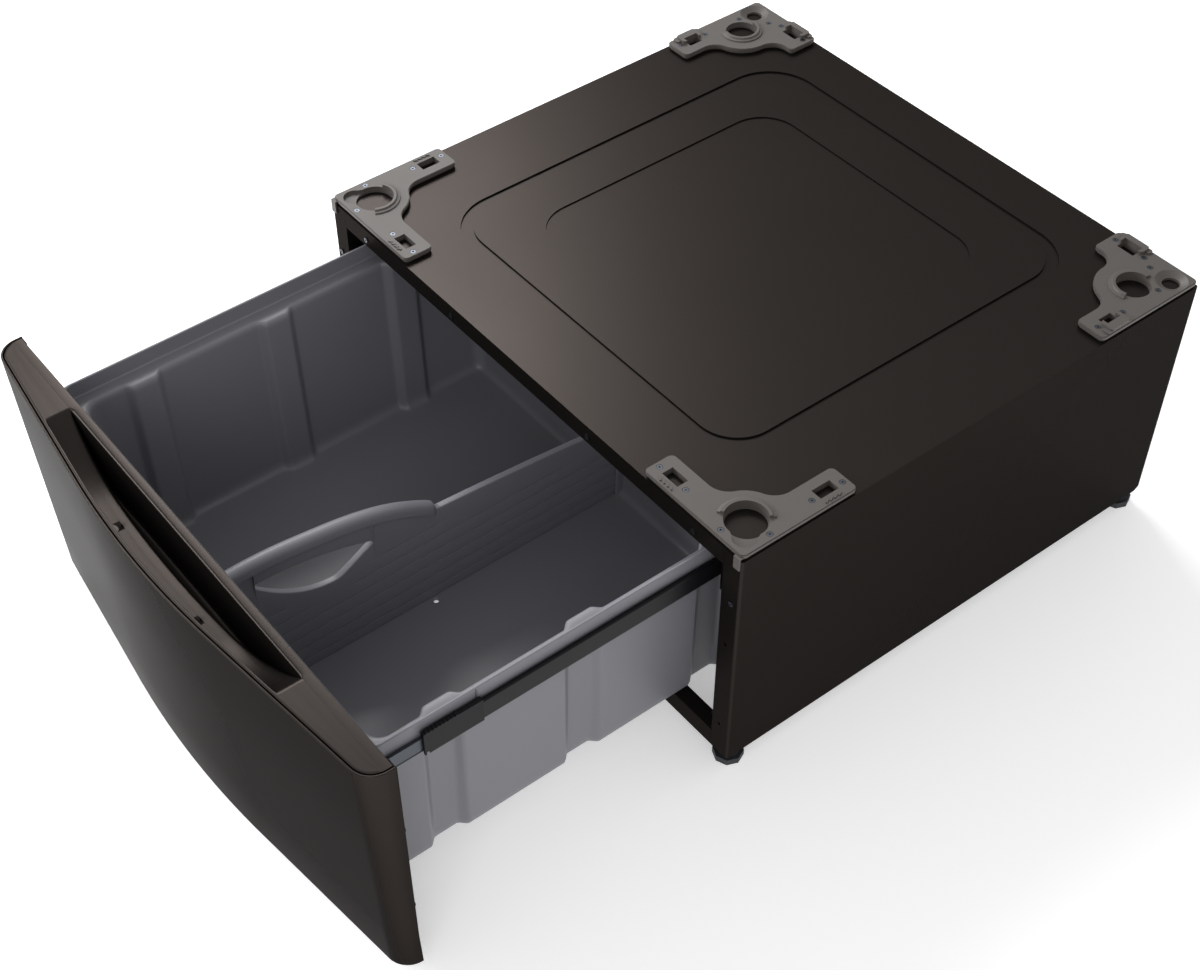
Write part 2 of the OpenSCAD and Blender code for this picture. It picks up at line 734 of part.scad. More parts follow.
// A C-shaped rolled channel: x = at is its left edge, and its web is on the left or right
module channel(at, width, height, web_right) {
  bend = 1.8;
  difference() {
    translate([at, slide_z - height / 2]) rounded_block(width, height, bend, 0);
    translate([at + (web_right ? -slide_t : slide_t), slide_z - height / 2 + slide_t])
      square([width, height - 2 * slide_t]);
  }
  translate([web_right ? at : at + width - bend, slide_z - height / 2]) square([bend, slide_t]);
  translate([web_right ? at : at + width - bend, slide_z + height / 2 - slide_t])
    square([bend, slide_t]);
}

module drawer_slide(side) {
  color(zinc) in_drawer() on_side(side) along_y(close_gap + slide_start, slide_len - close_gap) {
    channel(drawer_member_x, drawer_member_w, slide_h, false);
    translate([drawer_member_x + slide_t - 0.1, slide_z - 3]) square([0.8, 8]);
  }
}

module middle_slide(side) {
  color(black_plastic) in_cabinet() on_side(side)
    along_y(slide_start - middle_out, slide_len)
      channel(middle_member_x, middle_member_w, middle_h, true);
}

module cabinet_slide(side) {
  start = end_piece_len + slide_start;
  color(zinc) in_cabinet() on_side(side)
    along_y(start, slide_len + slide_start - start)
      channel(cabinet_member_x, cabinet_member_w, outer_h, true);
}

// A retainer between the cabinet member and the middle member, with a row of balls in each
// of their two races
module ball_cage(side) {
  strip_t = 0.6;
  race_z = (middle_h + race) / 2;
  ball_x = middle_member_x + 3;
  edge_x = ball_x - 1.2;
  web_x = middle_member_x + middle_member_w + 0.8;
  start = end_piece_len + slide_start + spare_out / 2 + 1;
  length = slide_start + slide_len - middle_out - spare_out / 2 - start;
  balls = floor(length / ball_pitch);
  color(zinc) in_cabinet() on_side(side) {
    along_y(start, length) {
      for (s = [-1, 1]) translate([edge_x, slide_z + s * race_z - strip_t / 2])
        square([web_x + strip_t - edge_x, strip_t]);
      translate([web_x, slide_z - race_z]) square([strip_t, 2 * race_z]);
    }
    for (s = [-1, 1], k = [0:balls - 1])
      translate([ball_x, start + (k + 0.5) * length / balls, slide_z + s * race_z])
        rotate([90, 0, 0]) sphere(ball_d / 2, $fn = 24);
  }
}

// A moulded stop on the front end of the middle member, with grip teeth on its top
module slide_end_piece(side) {
  inner = drawer_member_x + drawer_member_w + 0.4;
  top_z = slide_z + middle_h / 2;
  teeth = 9;
  color(black_plastic) in_cabinet() on_side(side) translate([0, slide_start - middle_out - 2, 0]) {
    translate([middle_member_x, 0, top_z + seam])
      cube([middle_member_w + 1.2, end_piece_len, end_piece_rise - seam]);
    translate([middle_member_x + middle_member_w + seam, 0, slide_z - middle_h / 2 + 4])
      cube([0.9, end_piece_len, middle_h + end_piece_rise - 4]);
    translate([middle_member_x + middle_member_w + seam, 5, slide_z - middle_h / 2])
      cube([0.9, end_piece_len - 5, 5]);
    translate([inner, 0, slide_z - middle_h / 2])
      cube([middle_member_x + middle_member_w + 1.2 - inner, 2 - seam, middle_h + 1]);
    for (k = [0:teeth - 1])
      translate([middle_member_x, 3 + k * 4, top_z + end_piece_rise - eps])
        cube([middle_member_w + 1.2, 2, 0.9 + eps]);
  }
}

// A channel that carries the cabinet member, bridging from it to the side panel
module slide_mount(side) {
  mount_h = outer_h + 20;
  depth = side_inner - seam - mount_x;
  color(painted_steel) in_cabinet() on_side(side)
    along_y(flange_in + 1, cab_d - flange_in - 2 * sheet_t - seam - 2)
      translate([mount_x, slide_z - mount_h / 2]) {
        square([sheet_t, mount_h]);
        square([depth, sheet_t]);
        translate([0, mount_h - sheet_t]) square([depth, sheet_t]);
        translate([depth - sheet_t, -flange_in]) square([sheet_t, flange_in]);
        translate([depth - sheet_t, mount_h]) square([sheet_t, flange_in]);
      }
}

// An angle inside the drawer member that ties it to the drawer's front
module front_angle(side) {
  web_x = drawer_member_x + slide_t + 1;
  angle_t = 1.4;
  color(zinc) in_drawer() on_side(side) {
    translate([web_x, seam, slide_z - slide_h / 2 + slide_t + seam])
      cube([angle_t, 60, slide_h - 2 * (slide_t + seam)]);
    difference() {
      translate([web_x, seam, slide_z - 20]) cube([mouth_half - web_x - 4, angle_t, 40]);
      front_screw_places() translate([0, -eps, 0])
        rotate([-90, 0, 0]) cylinder(r = screw_hole_r, h = 4);
    }
  }
}

// Where the angles are screwed to the drawer's front, on the right-hand side
module front_screw_places() {
  for (dz = [-13, 13])
    translate([mouth_half - 11, 0, slide_z + dz]) children();
}

module front_screws() {
  color(zinc) in_drawer() for (side = [-1, 1]) on_side(side)
    front_screw_places() translate([0, 1.4 + 2 * seam, 0]) rotate([-90, 0, 0])
      screw(0.9, 8);
}

module drawer_slide_left() drawer_slide(-1);
module drawer_slide_right() drawer_slide(1);
module middle_slide_left() middle_slide(-1);
module middle_slide_right() middle_slide(1);
module cabinet_slide_left() cabinet_slide(-1);
module cabinet_slide_right() cabinet_slide(1);
module ball_cage_left() ball_cage(-1);
module ball_cage_right() ball_cage(1);
module slide_end_piece_left() slide_end_piece(-1);
module slide_end_piece_right() slide_end_piece(1);
module slide_mount_left() slide_mount(-1);
module slide_mount_right() slide_mount(1);
module front_angle_left() front_angle(-1);
module front_angle_right() front_angle(1);

// ---- Drawer front ----

// Where a straight flank runs, at a distance x from the middle, moved in by inset
function flank_at(x, inset) =
  exact(flank_y + (x - flank_x) * flank_slope + inset * flank_stretch);

// Plan of the bowed front, from its face back to y = back, moved in by inset everywhere
// but there. The face is an arc between two straight flanks. A flank starts a hair behind
// the arc and each corner's disc stands out of its flank by a hair, so that they cross.
module front_plan(inset, back) {
  intersection() {
    translate([0, bow_y]) circle(front_bow_r - inset, $fn = big_fn);
    translate([-corner_x, -2 * front_depth]) square([2 * corner_x, 2 * front_depth + corner_y]);
  }
  for (s = [0, 1]) mirror([s, 0])
    polygon([[flank_x, corner_y], [flank_x, flank_at(flank_x, inset)],
             [touch_x, flank_at(touch_x, inset)], [touch_x, corner_y]]);
  intersection() {
    for (s = [-1, 1])
      translate([s * corner_x, corner_y]) circle(front_corner_r + bite - inset);
    translate([-half_w, -2 * front_depth]) square([cab_w, 2 * front_depth + back]);
  }
  translate([-corner_x, corner_y - front_corner_r / 2])
    square([2 * corner_x, front_corner_r / 2 - corner_y + back]);
  translate([inset - half_w, corner_y]) square([cab_w - 2 * inset, back - corner_y]);
}

// The front's space between two heights, moved in by inset, leaning about its top edge and
// cut off at its back plane
module front_body(inset, from_z, to_z) {
  reach = 30;
  intersection() {
    translate([0, 0, front_top]) rotate([front_lean, 0, 0])
      translate([0, 0, from_z - front_top - reach])
        linear_extrude(to_z - from_z + 2 * reach) front_plan(inset, reach);
    translate([-half_w, -2 * front_depth, from_z]) cube([cab_w, 2 * front_depth, to_z - from_z]);
  }
}

// The painted outer skin: one bowed sheet with a hem on top, a closed bottom and flanges
// behind
module drawer_front() {
  color(painted_steel) in_drawer() {
    difference() {
      front_body(0, front_bottom, front_top);
      front_body(sheet_t, front_bottom + sheet_t, front_top - sheet_t);
      front_body(hem_w, front_top - 2 * sheet_t, front_top + eps);
    }
    for (s = [-1, 1]) on_side(s)
      translate([half_w - front_flange, -sheet_t, front_bottom])
        cube([front_flange, sheet_t, front_top - front_bottom]);
  }
}

module front_screw_holes() {
  for (s = [-1, 1]) on_side(s) front_screw_places() translate([0, -2 * sheet_t, 0])
    rotate([-90, 0, 0]) cylinder(r = screw_hole_r, h = 4 * sheet_t);
}

// The plain steel plate that closes the front from behind
module drawer_front_back_plate() {
  plate_w = 2 * (half_w - front_flange - seam);
  plate_top = front_top - cap_skirt_h - seam;
  plate_bottom = front_bottom + sheet_t + seam;
  color(painted_steel) in_drawer() difference() {
    union() {
      translate([-plate_w / 2, -sheet_t, plate_bottom])
        cube([plate_w, sheet_t, plate_top - plate_bottom]);
      translate([-plate_w / 2, -flange_in, plate_bottom]) cube([plate_w, flange_in, sheet_t]);
    }
    front_screw_holes();
  }
}

// Side view of the scoop or of its slot: a level floor with round ends, grown by wall.
// An end's arc starts just past its lowest point, so it meets the floor at a slight angle.
module scoop_side(run, depth, wall) {
  start = scoop_arc_start;
  length = scoop_half - run;
  centre_z = (pow(length, 2) + 2 * length * start - pow(depth, 2)) / (2 * depth);
  arc_r = sqrt(pow(start, 2) + pow(centre_z + depth, 2));
  rise = wall > 0 ? -cap_t / 2 : eps;
  translate([start - run, -depth - wall]) square([2 * (run - start), depth + wall + rise]);
  for (s = [0, 1]) mirror([s, 0]) intersection() {
    translate([run - start, centre_z]) circle(arc_r + wall, $fn = big_fn);
    translate([run - start, -depth - wall]) square([length + 2 * start, depth + wall + rise]);
  }
}

// Plan of the finger slot: a leaf between the scoop's rear edge and a forward-bowed arc
module slot_plan(wall) {
  r = (pow(slot_half, 2) + pow(slot_bulge, 2)) / (2 * slot_bulge);
  intersection() {
    translate([0, r - slot_bulge - scoop_back]) circle(r + wall, $fn = big_fn);
    translate([-half_w, -scoop_back + wall - front_depth]) square([cab_w, front_depth]);
  }
}

// Plan of the scoop: from its front edge, which follows the bow, to its straight rear edge
module scoop_plan(wall) {
  intersection() {
    front_plan(scoop_wall - wall, 0);
    translate([-half_w, -scoop_back + wall - front_depth]) square([cab_w, front_depth]);
  }
}

// A hollow with one side view and one plan, cut down from the front's top
module hollow_under_top() {
  intersection() {
    translate([0, 0, front_top]) along_y(-front_depth - eps, front_depth) children(0);
    translate([0, 0, front_top - slot_depth - 10]) linear_extrude(slot_depth + 20) children(1);
  }
}

module scoop(wall) {
  hollow_under_top() {
    scoop_side(scoop_run, scoop_depth, wall);
    scoop_plan(wall);
  }
  hollow_under_top() {
    scoop_side(slot_run, slot_depth, wall);
    slot_plan(wall);
  }
}

module cap_plan(rear) {
  difference() {
    front_plan(cap_inset, 0);
    translate([-half_w, rear]) square([cab_w, front_depth]);
  }
}

// The cap that closes the front's top, with the hand scoop and its deep finger slot
module drawer_front_cap() {
  skirt_w = 2 * (half_w - front_flange - seam);
  rear = -sheet_t - seam;
  color(painted_steel) in_drawer() difference() {
    union() {
      translate([0, 0, front_top - cap_t]) linear_extrude(cap_t) cap_plan(rear);
      translate([0, 0, front_top - cap_lip_h]) linear_extrude(cap_lip_h - cap_t) difference() {
        cap_plan(rear);
        front_plan(cap_inset + 2, 0);
      }
      translate([-skirt_w / 2, -cap_t, front_top - cap_skirt_h])
        cube([skirt_w, cap_t, cap_skirt_h]);
      scoop(scoop_shell);
    }
    scoop(0);
    for (s = [-1, 1]) translate([s * floor_hole_x - floor_hole / 2, -front_depth + 21,
                                 front_top - scoop_depth - scoop_shell - eps])
      cube([floor_hole, floor_hole, scoop_shell + 2 * eps]);
  }
}

// Soft buttons on the front's back plane that meet the cabinet's stiles
module drawer_bumpers() {
  color(dark_rubber) in_drawer()
    for (s = [-1, 1], z = [0.3, 0.7] * cab_h) translate([s * (half_w - 8), 0, z])
      rotate([-90, 0, 0]) cylinder(r = 5, h = close_gap - 2 * seam);
}

// ---- Tub ----

// Section of the tub's wall: x outwards from the wall's inner face under the ledge. The
// floor's edge, a round, the leaning wall, the ledge and the lip.
module tub_section() {
  translate([knee[0] - floor_lap, tub_bottom_z]) square([floor_lap, tub_wall]);
  intersection() {
    difference() {
      translate(knee) circle(floor_fillet + tub_wall);
      translate(knee) circle(floor_fillet);
    }
    translate([knee[0], knee[1] - 2 * floor_fillet]) square(2 * floor_fillet);
  }
  polygon([[-draft_in, knee[1]], [tub_wall - draft_in, knee[1]],
           [tub_wall, ledge_z - tub_wall], [0, ledge_z - tub_wall]]);
  intersection() {
    translate([tub_wall, ledge_z - tub_wall]) circle(tub_wall);
    translate([-tub_wall, ledge_z - tub_wall]) square(2 * tub_wall);
  }
  translate([tub_wall, ledge_z - tub_wall]) square([brim - tub_wall, tub_wall]);
  translate([ledge_w, ledge_z - tub_wall])
    square([lip_t, lip_top_z - ledge_z + tub_wall - lip_t / 2]);
  intersection() {
    translate([ledge_w + lip_t / 2, lip_top_z - lip_t / 2]) circle(lip_t / 2);
    translate([ledge_w - lip_t, lip_top_z - lip_t / 2]) square(3 * lip_t);
  }
}

// Plan of a pilaster that stands in from the wall at x = 0, from its face out to x = outer
module pilaster_plan(outer) {
  half = pilaster_face / 2;
  flare = (pilaster_base - pilaster_face) / (2 * pilaster_depth);
  outer_half = half + flare * (outer + pilaster_depth);
  polygon([[-pilaster_depth, -half], [outer, -outer_half],
           [outer, outer_half], [-pilaster_depth, half]]);
}

// Stands a pilaster's column against each side wall, leaning with the wall
module pilaster_columns(outer, shift) {
  for (s = [-1, 1], k = [0:pilasters - 1]) on_side(s)
    translate([well_w / 2 - draft_in, pilaster_first + k * pilaster_pitch, knee[1]])
      rotate([0, wall_lean, 0]) translate([shift, 0, -2 * floor_fillet])
        linear_extrude(ledge_z) pilaster_plan(outer);
}

// The space beside each side wall, out to the middle of the wall's thickness: above the
// floor's round it is bounded by the leaning wall, and below by the round
module inside_walls() {
  mid = tub_wall / 2;
  from = knee[0] + 2;
  for (s = [-1, 1]) on_side(s) along_y(0, tub_len) translate([well_w / 2, 0]) {
    intersection() {
      translate(knee) circle(floor_fillet + mid);
      translate([from, tub_bottom_z]) square([2 * floor_fillet, knee[1] - tub_bottom_z]);
    }
    polygon([[from, knee[1]], [mid - draft_in, knee[1]], [mid, ledge_z], [from, ledge_z]]);
  }
}

module drawer_tub() {
  floor_in = tub_corner_r - 0.68 * (tub_corner_r + knee[0]);
  floor_w = well_w - 2 * floor_in;
  floor_len = well_len - 2 * floor_in;
  color(tub_plastic) in_drawer() difference() {
    union() {
      translate([0, tub_mid_y, 0]) {
        sweep_around(well_w, well_len, tub_corner_r) tub_section();
        translate([-floor_w / 2, -floor_len / 2, tub_bottom_z])
          cube([floor_w, floor_len, tub_wall]);
      }
      intersection() {
        pilaster_columns(tub_wall, 0);
        inside_walls();
      }
      divider_guides();
    }
    intersection() {
      pilaster_columns(ledge_w, tub_wall);
      translate([-lip_x, 0, tub_bottom_z - eps])
        cube([2 * lip_x, tub_len, ledge_z - tub_wall - tub_bottom_z + eps]);
    }
    translate([-lip_x - eps, lip_notch_y, ledge_z + 1])
      cube([2 * (lip_x + eps), 1.2, lip_top_z - ledge_z - 3]);
    translate([drain[0], drain[1], tub_bottom_z - eps])
      cylinder(r = drain_r, h = tub_wall + 2 * eps);
  }
}

// Side view of a guide rib: x outwards from the wall's inner face at the knee's height.
// It ends inside the wall's thickness and follows the round down to the floor.
module guide_side() {
  embed = 0.7 * tub_wall;
  guide_top = tub_floor_z + divider_rear_h - 10;
  translate([-guide_depth, knee[1]]) square([guide_depth + embed, guide_top - knee[1]]);
  intersection() {
    translate([-floor_fillet, knee[1]]) circle(floor_fillet + embed);
    translate([-guide_depth, knee[1] - 2 * floor_fillet])
      square([2 * floor_fillet, 2 * floor_fillet]);
  }
}

// Pairs of ribs on the tub's front and back walls that hold the divider upright
module divider_guides() {
  guide_x = divider_t / 2 + divider_gap;
  translate([0, tub_mid_y, 0])
    for (s = [-1, 1], end = [0, 1]) mirror([0, end, 0])
      translate([0, well_len / 2 - draft_in, 0])
        across_x(s > 0 ? guide_x : -guide_x - guide_t, guide_t) guide_side();
}

// ---- Divider ----

// Side view of the divider: y along and z up. A low plate with a slightly arched rear part
// rises into an arched grip.
module divider_side() {
  front_y = tub_mid_y - well_len / 2 + draft_in + divider_gap;
  back_y = tub_mid_y + well_len / 2 - draft_in - divider_gap;
  foot_r = floor_fillet + 2;
  arch_run = (back_y - grip_end_y) / 2;
  arch_fall = (divider_mid_h - divider_rear_h) / 2;
  arch_half = norm([arch_run, arch_fall]);
  arch_drop = sqrt(pow(divider_arch_r, 2) - pow(arch_half, 2)) / arch_half;
  arch_centre = [grip_end_y + arch_run - arch_drop * arch_fall,
                 tub_floor_z + divider_rear_h + arch_fall - arch_drop * arch_run];
  difference() {
    union() {
      intersection() {
        translate(grip_centre) circle(grip_arc_r - grip_t / 2, $fn = big_fn);
        translate([front_y, divider_foot + foot_r])
          square([grip_end_y - front_y, grip_apex_h]);
      }
      translate([front_y, divider_foot + foot_r])
        square([grip_end_y + 2 - front_y, divider_mid_h - foot_r - 1]);
      intersection() {
        translate(arch_centre) circle(divider_arch_r, $fn = big_fn);
        translate([grip_end_y, divider_foot + foot_r])
          square([back_y - grip_end_y, divider_mid_h]);
      }
      translate([front_y + foot_r, divider_foot]) square([back_y - front_y - 2 * foot_r, foot_r + 1]);
      for (y = [front_y + foot_r, back_y - foot_r])
        translate([y, divider_foot + foot_r]) circle(foot_r);
    }
    hand_hole(0, 0);
  }
}

// The hand hole: a leaf between an arc that follows the grip and a deeper lower arc, with
// each arc moved out by its own amount
module hand_hole(above, below) {
  upper_r = grip_arc_r - grip_finger;
  lower_r = (pow(hand_hole_half, 2) + pow(hand_hole_drop, 2)) / (2 * hand_hole_drop);
  lean = asin((hand_hole_mid_y - grip_apex_y) / upper_r);
  mid_r = sqrt(pow(upper_r, 2) - pow(hand_hole_half, 2));
  intersection() {
    translate(grip_centre) circle(upper_r + above, $fn = big_fn);
    translate(grip_centre + (mid_r + lower_r - hand_hole_drop) * [sin(lean), cos(lean)])
      circle(lower_r + below, $fn = 128);
  }
}

module divider() {
  rim_r = grip_arc_r - grip_t / 2;
  front_y = tub_mid_y - well_len / 2 + draft_in + divider_gap;
  first = acos((grip_end_y - grip_apex_y) / rim_r);
  last = acos((front_y + 1 - grip_apex_y) / rim_r);
  groove_pitch = (divider_mid_h - 14) / divider_grooves;
  color(tub_plastic) in_drawer() difference() {
    union() {
      across_x(-divider_t / 2, divider_t) divider_side();
      across_x(-divider_t / 2 - rim_proud, divider_t + 2 * rim_proud) difference() {
        hand_hole(0, hand_rim_w);
        hand_hole(1, 0);
      }
      rotate([90, 0, 90]) translate([grip_centre[0], grip_centre[1], 0])
        rotate([0, 0, first]) rotate_extrude(angle = last - first, $fn = big_fn)
          translate([rim_r, 0]) circle(grip_t / 2);
      translate([0, grip_end_y, grip_centre[1] + rim_r * sin(first)])
        sphere(grip_t / 2 + bite);
    }
    for (s = [-1, 1], k = [0:divider_grooves - 1])
      translate([s * divider_t / 2 - 0.5, 0, divider_foot + 14 + k * groove_pitch])
        cube([1, tub_len, 1]);
  }
}

top_panel();
side_panel_left();
side_panel_right();
back_panel();
base_rail_front();
base_rail_rear();
foot_bracket_front_left();
foot_bracket_front_right();
foot_bracket_rear_left();
foot_bracket_rear_right();
foot_pad_front_left();
foot_pad_front_right();
foot_pad_rear_left();
foot_pad_rear_right();
foot_stem_front_left();
foot_stem_front_right();
foot_stem_rear_left();
foot_stem_rear_right();
lock_nuts();
corner_seat_front_left();
corner_seat_front_right();
corner_seat_rear_left();
corner_seat_rear_right();
seat_screws();
frame_screws();
slide_mount_left();
slide_mount_right();
cabinet_slide_left();
cabinet_slide_right();
ball_cage_left();
ball_cage_right();
middle_slide_left();
middle_slide_right();
slide_end_piece_left();
slide_end_piece_right();
drawer_slide_left();
drawer_slide_right();
front_angle_left();
front_angle_right();
drawer_front();
drawer_front_cap();
drawer_front_back_plate();
front_screws();
drawer_bumpers();
drawer_tub();
divider();
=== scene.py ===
"""Looks of a laundry pedestal: a dark powder-coated steel cabinet with moulded corner seats
and a deep bow-fronted storage drawer, drawn part of the way out.

The drawer's pieces are measured in millimetres from the back plane of its front: x to the
right, y towards the back, z up. DRAWER_SHIFT moves them into the shared frame."""

import json

import bpy
import numpy as np
from bpy.props import FloatProperty, PointerProperty, StringProperty
from mathutils import Matrix, Vector


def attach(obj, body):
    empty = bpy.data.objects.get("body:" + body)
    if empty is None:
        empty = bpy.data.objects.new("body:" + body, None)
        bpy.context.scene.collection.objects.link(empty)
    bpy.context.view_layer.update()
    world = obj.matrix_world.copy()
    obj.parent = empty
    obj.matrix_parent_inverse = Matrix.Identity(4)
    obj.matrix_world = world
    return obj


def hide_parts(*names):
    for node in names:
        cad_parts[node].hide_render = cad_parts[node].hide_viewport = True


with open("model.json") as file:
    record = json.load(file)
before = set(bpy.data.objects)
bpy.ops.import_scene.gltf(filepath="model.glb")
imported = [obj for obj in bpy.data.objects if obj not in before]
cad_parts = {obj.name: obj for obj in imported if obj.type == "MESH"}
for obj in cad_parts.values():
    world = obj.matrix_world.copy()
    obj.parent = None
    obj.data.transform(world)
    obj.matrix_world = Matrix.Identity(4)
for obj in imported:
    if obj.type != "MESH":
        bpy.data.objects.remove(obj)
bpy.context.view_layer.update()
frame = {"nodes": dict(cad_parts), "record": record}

bl_info = {
    "name": "Laundry Pedestal Drawer",
    "version": (1, 0, 0),
    "blender": (4, 5, 0),
    "location": "3D View > Sidebar > Pedestal",
    "description": "Finishes, moulded surfaces and a studio for a laundry pedestal",
    "category": "Object",
}

NODES = frame["nodes"]
MM = 0.001
DRAWER_SHIFT = np.array([0.0, -469.0, 22.0])


def size(key):
    """One of the pedestal's sizes from the settings, in millimetres."""
    return round(getattr(bpy.context.scene.pedestal_sizes, key) / MM, 4)


# ---- colours and nodes -------------------------------------------------------------------


def linear(hex_colour):
    """An sRGB hex colour such as "#34302e" as the linear red, green, blue and alpha that
    shaders take."""
    channels = [int(hex_colour[i : i + 2], 16) / 255 for i in (1, 3, 5)]
    lit = [c / 12.92 if c <= 0.04045 else ((c + 0.055) / 1.055) ** 2.4 for c in channels]
    return lit + [1.0]


def add(tree, kind, **inputs):
    """Adds a node to a tree. Each argument names an input, with _ for a space, and is either
    a value or another node's output to link."""
    made = tree.nodes.new(kind)
    for name, value in inputs.items():
        socket = made.inputs[name.replace("_", " ")]
        if isinstance(value, bpy.types.NodeSocket):
            tree.links.new(value, socket)
        else:
            socket.default_value = value
    return made


def new_material(name):
    """An empty node material with its output node."""
    material = bpy.data.materials.new(name)
    material.use_nodes = True
    material.node_tree.nodes.clear()
    output = material.node_tree.nodes.new("ShaderNodeOutputMaterial")
    return material, material.node_tree, output


def per_metre(size_mm):
    """A noise scale, in repeats per metre, for a pattern that repeats every size_mm."""
    return 1000.0 / size_mm


def metallic_powder_coat(name, colour):
    """Sheet steel with a dark metallic powder coat. Its flakes mirror softly, with a darker
    edge than clear paint has. Spraying leaves a faint orange peel about 1.2 mm across, drawn
    here at 2.5 mm so that it shows, which breaks the soft highlights a little. The coat's
    thickness drifts over about 220 mm, and its sheen with it."""
    material, tree, output = new_material(name)
    place = add(tree, "ShaderNodeTexCoord").outputs["Object"]
    peel = add(tree, "ShaderNodeTexNoise", Vector=place, Scale=per_metre(2.5), Detail=2.0)
    drift = add(tree, "ShaderNodeTexNoise", Vector=place, Scale=per_metre(220), Detail=2.0)
    sheen = add(
        tree, "ShaderNodeMapRange", Value=drift.outputs["Fac"], To_Min=0.3, To_Max=0.36
    )
    bump = add(
        tree, "ShaderNodeBump", Height=peel.outputs["Fac"], Strength=0.04, Distance=0.0004
    )
    shader = add(
        tree,
        "ShaderNodeBsdfPrincipled",
        Base_Color=linear(colour),
        Roughness=sheen.outputs["Result"],
        Metallic=0.85,
        Specular_Tint=(0.3, 0.3, 0.3, 1),
        Specular_IOR_Level=0.1,
        Normal=bump.outputs["Normal"],
    )
    tree.links.new(shader.outputs["BSDF"], output.inputs["Surface"])
    return material


def grained_plastic(name, colour, grain_mm, roughness, gloss=0.5):
    """A plastic, rubber or coated surface with a fine even grain, from a mould's spark-eroded
    wall or from the coat itself. The grain spreads the highlights. A real one is finer than
    the render can show, so it is drawn at grain_mm. The sheen drifts by 0.04 of roughness
    either way over about 160 mm."""
    material, tree, output = new_material(name)
    place = add(tree, "ShaderNodeTexCoord").outputs["Object"]
    grain = add(
        tree, "ShaderNodeTexNoise", Vector=place, Scale=per_metre(grain_mm), Detail=3.0
    )
    drift = add(tree, "ShaderNodeTexNoise", Vector=place, Scale=per_metre(160), Detail=2.0)
    shine = add(
        tree,
        "ShaderNodeMapRange",
        Value=drift.outputs["Fac"],
        To_Min=roughness - 0.04,
        To_Max=roughness + 0.04,
    )
    bump = add(
        tree, "ShaderNodeBump", Height=grain.outputs["Fac"], Strength=0.12, Distance=0.0003
    )
    shader = add(
        tree,
        "ShaderNodeBsdfPrincipled",
        Base_Color=linear(colour),
        Roughness=shine.outputs["Result"],
        IOR=1.49,
        Specular_IOR_Level=gloss,
        Normal=bump.outputs["Normal"],
    )
    tree.links.new(shader.outputs["BSDF"], output.inputs["Surface"])
    return material


def zinc_plated_steel(name, colour):
    """Rolled steel with bright zinc plating, which dulls in soft patches about 8 mm across."""
    material, tree, output = new_material(name)
    place = add(tree, "ShaderNodeTexCoord").outputs["Object"]
    patch = add(tree, "ShaderNodeTexNoise", Vector=place, Scale=per_metre(8), Detail=2.0)
    dull = add(
        tree, "ShaderNodeMapRange", Value=patch.outputs["Fac"], To_Min=0.28, To_Max=0.42
    )
    shader = add(
        tree,
        "ShaderNodeBsdfPrincipled",
        Base_Color=linear(colour),
        Metallic=1.0,
        Roughness=dull.outputs["Result"],
    )
    tree.links.new(shader.outputs["BSDF"], output.inputs["Surface"])
    return material


# The finish of each of the record's slots: the material's name, what makes it, which of the
# colours it takes, and its grain, roughness and gloss.
FINISHES = {
    # sprayed and baked steel sheet: dark, with a soft metallic sheen
    "painted_steel": ("metallic_powder_coat", metallic_powder_coat, "powder_coat", {}),
    # ABS from a textured mould: satin, with even highlights
    "seat_plastic": ("moulded_abs", grained_plastic, "seat", {"grain_mm": 0.9, "roughness": 0.5}),
    # polypropylene: a little waxier, so that round edges shine
    "tub_plastic": (
        "moulded_polypropylene", grained_plastic, "tub", {"grain_mm": 0.8, "roughness": 0.42}
    ),
    # plated steel: bright, cold and patchy
    "zinc_steel": ("zinc_plated_steel", zinc_plated_steel, "zinc", {}),
    # black dip-coated steel: smooth, with a weak mirror
    "black_steel": (
        "black_coated_steel",
        grained_plastic,
        "black",
        {"grain_mm": 1.5, "roughness": 0.34, "gloss": 0.2},
    ),
    # acetal: deep black, and duller than the coat beside it
    "black_plastic": (
        "moulded_acetal",
        grained_plastic,
        "black",
        {"grain_mm": 0.8, "roughness": 0.45, "gloss": 0.2},
    ),
    # rubber: nearly matt
    "foot_rubber": (
        "moulded_rubber", grained_plastic, "rubber", {"grain_mm": 0.8, "roughness": 0.62}
    ),
}


def finish_of(slot):
    """The material of one of the record's slots, made once."""
    name, make, colour, surface = FINISHES[slot]
    made = bpy.data.materials.get(name)
    return made or make(name, getattr(bpy.context.scene.pedestal_colours, colour), **surface)


def slot_of(node):
    """The record's material slot of a CAD node."""
    return next(s["material_slot"] for s in frame["record"]["subparts"] if s["node"] == node)


def dress(piece, slot):
    """Gives a piece the material of a slot in place of whatever it has."""
    piece.data.materials.clear()
    piece.data.materials.append(finish_of(slot))


# ---- surfaces ----------------------------------------------------------------------------


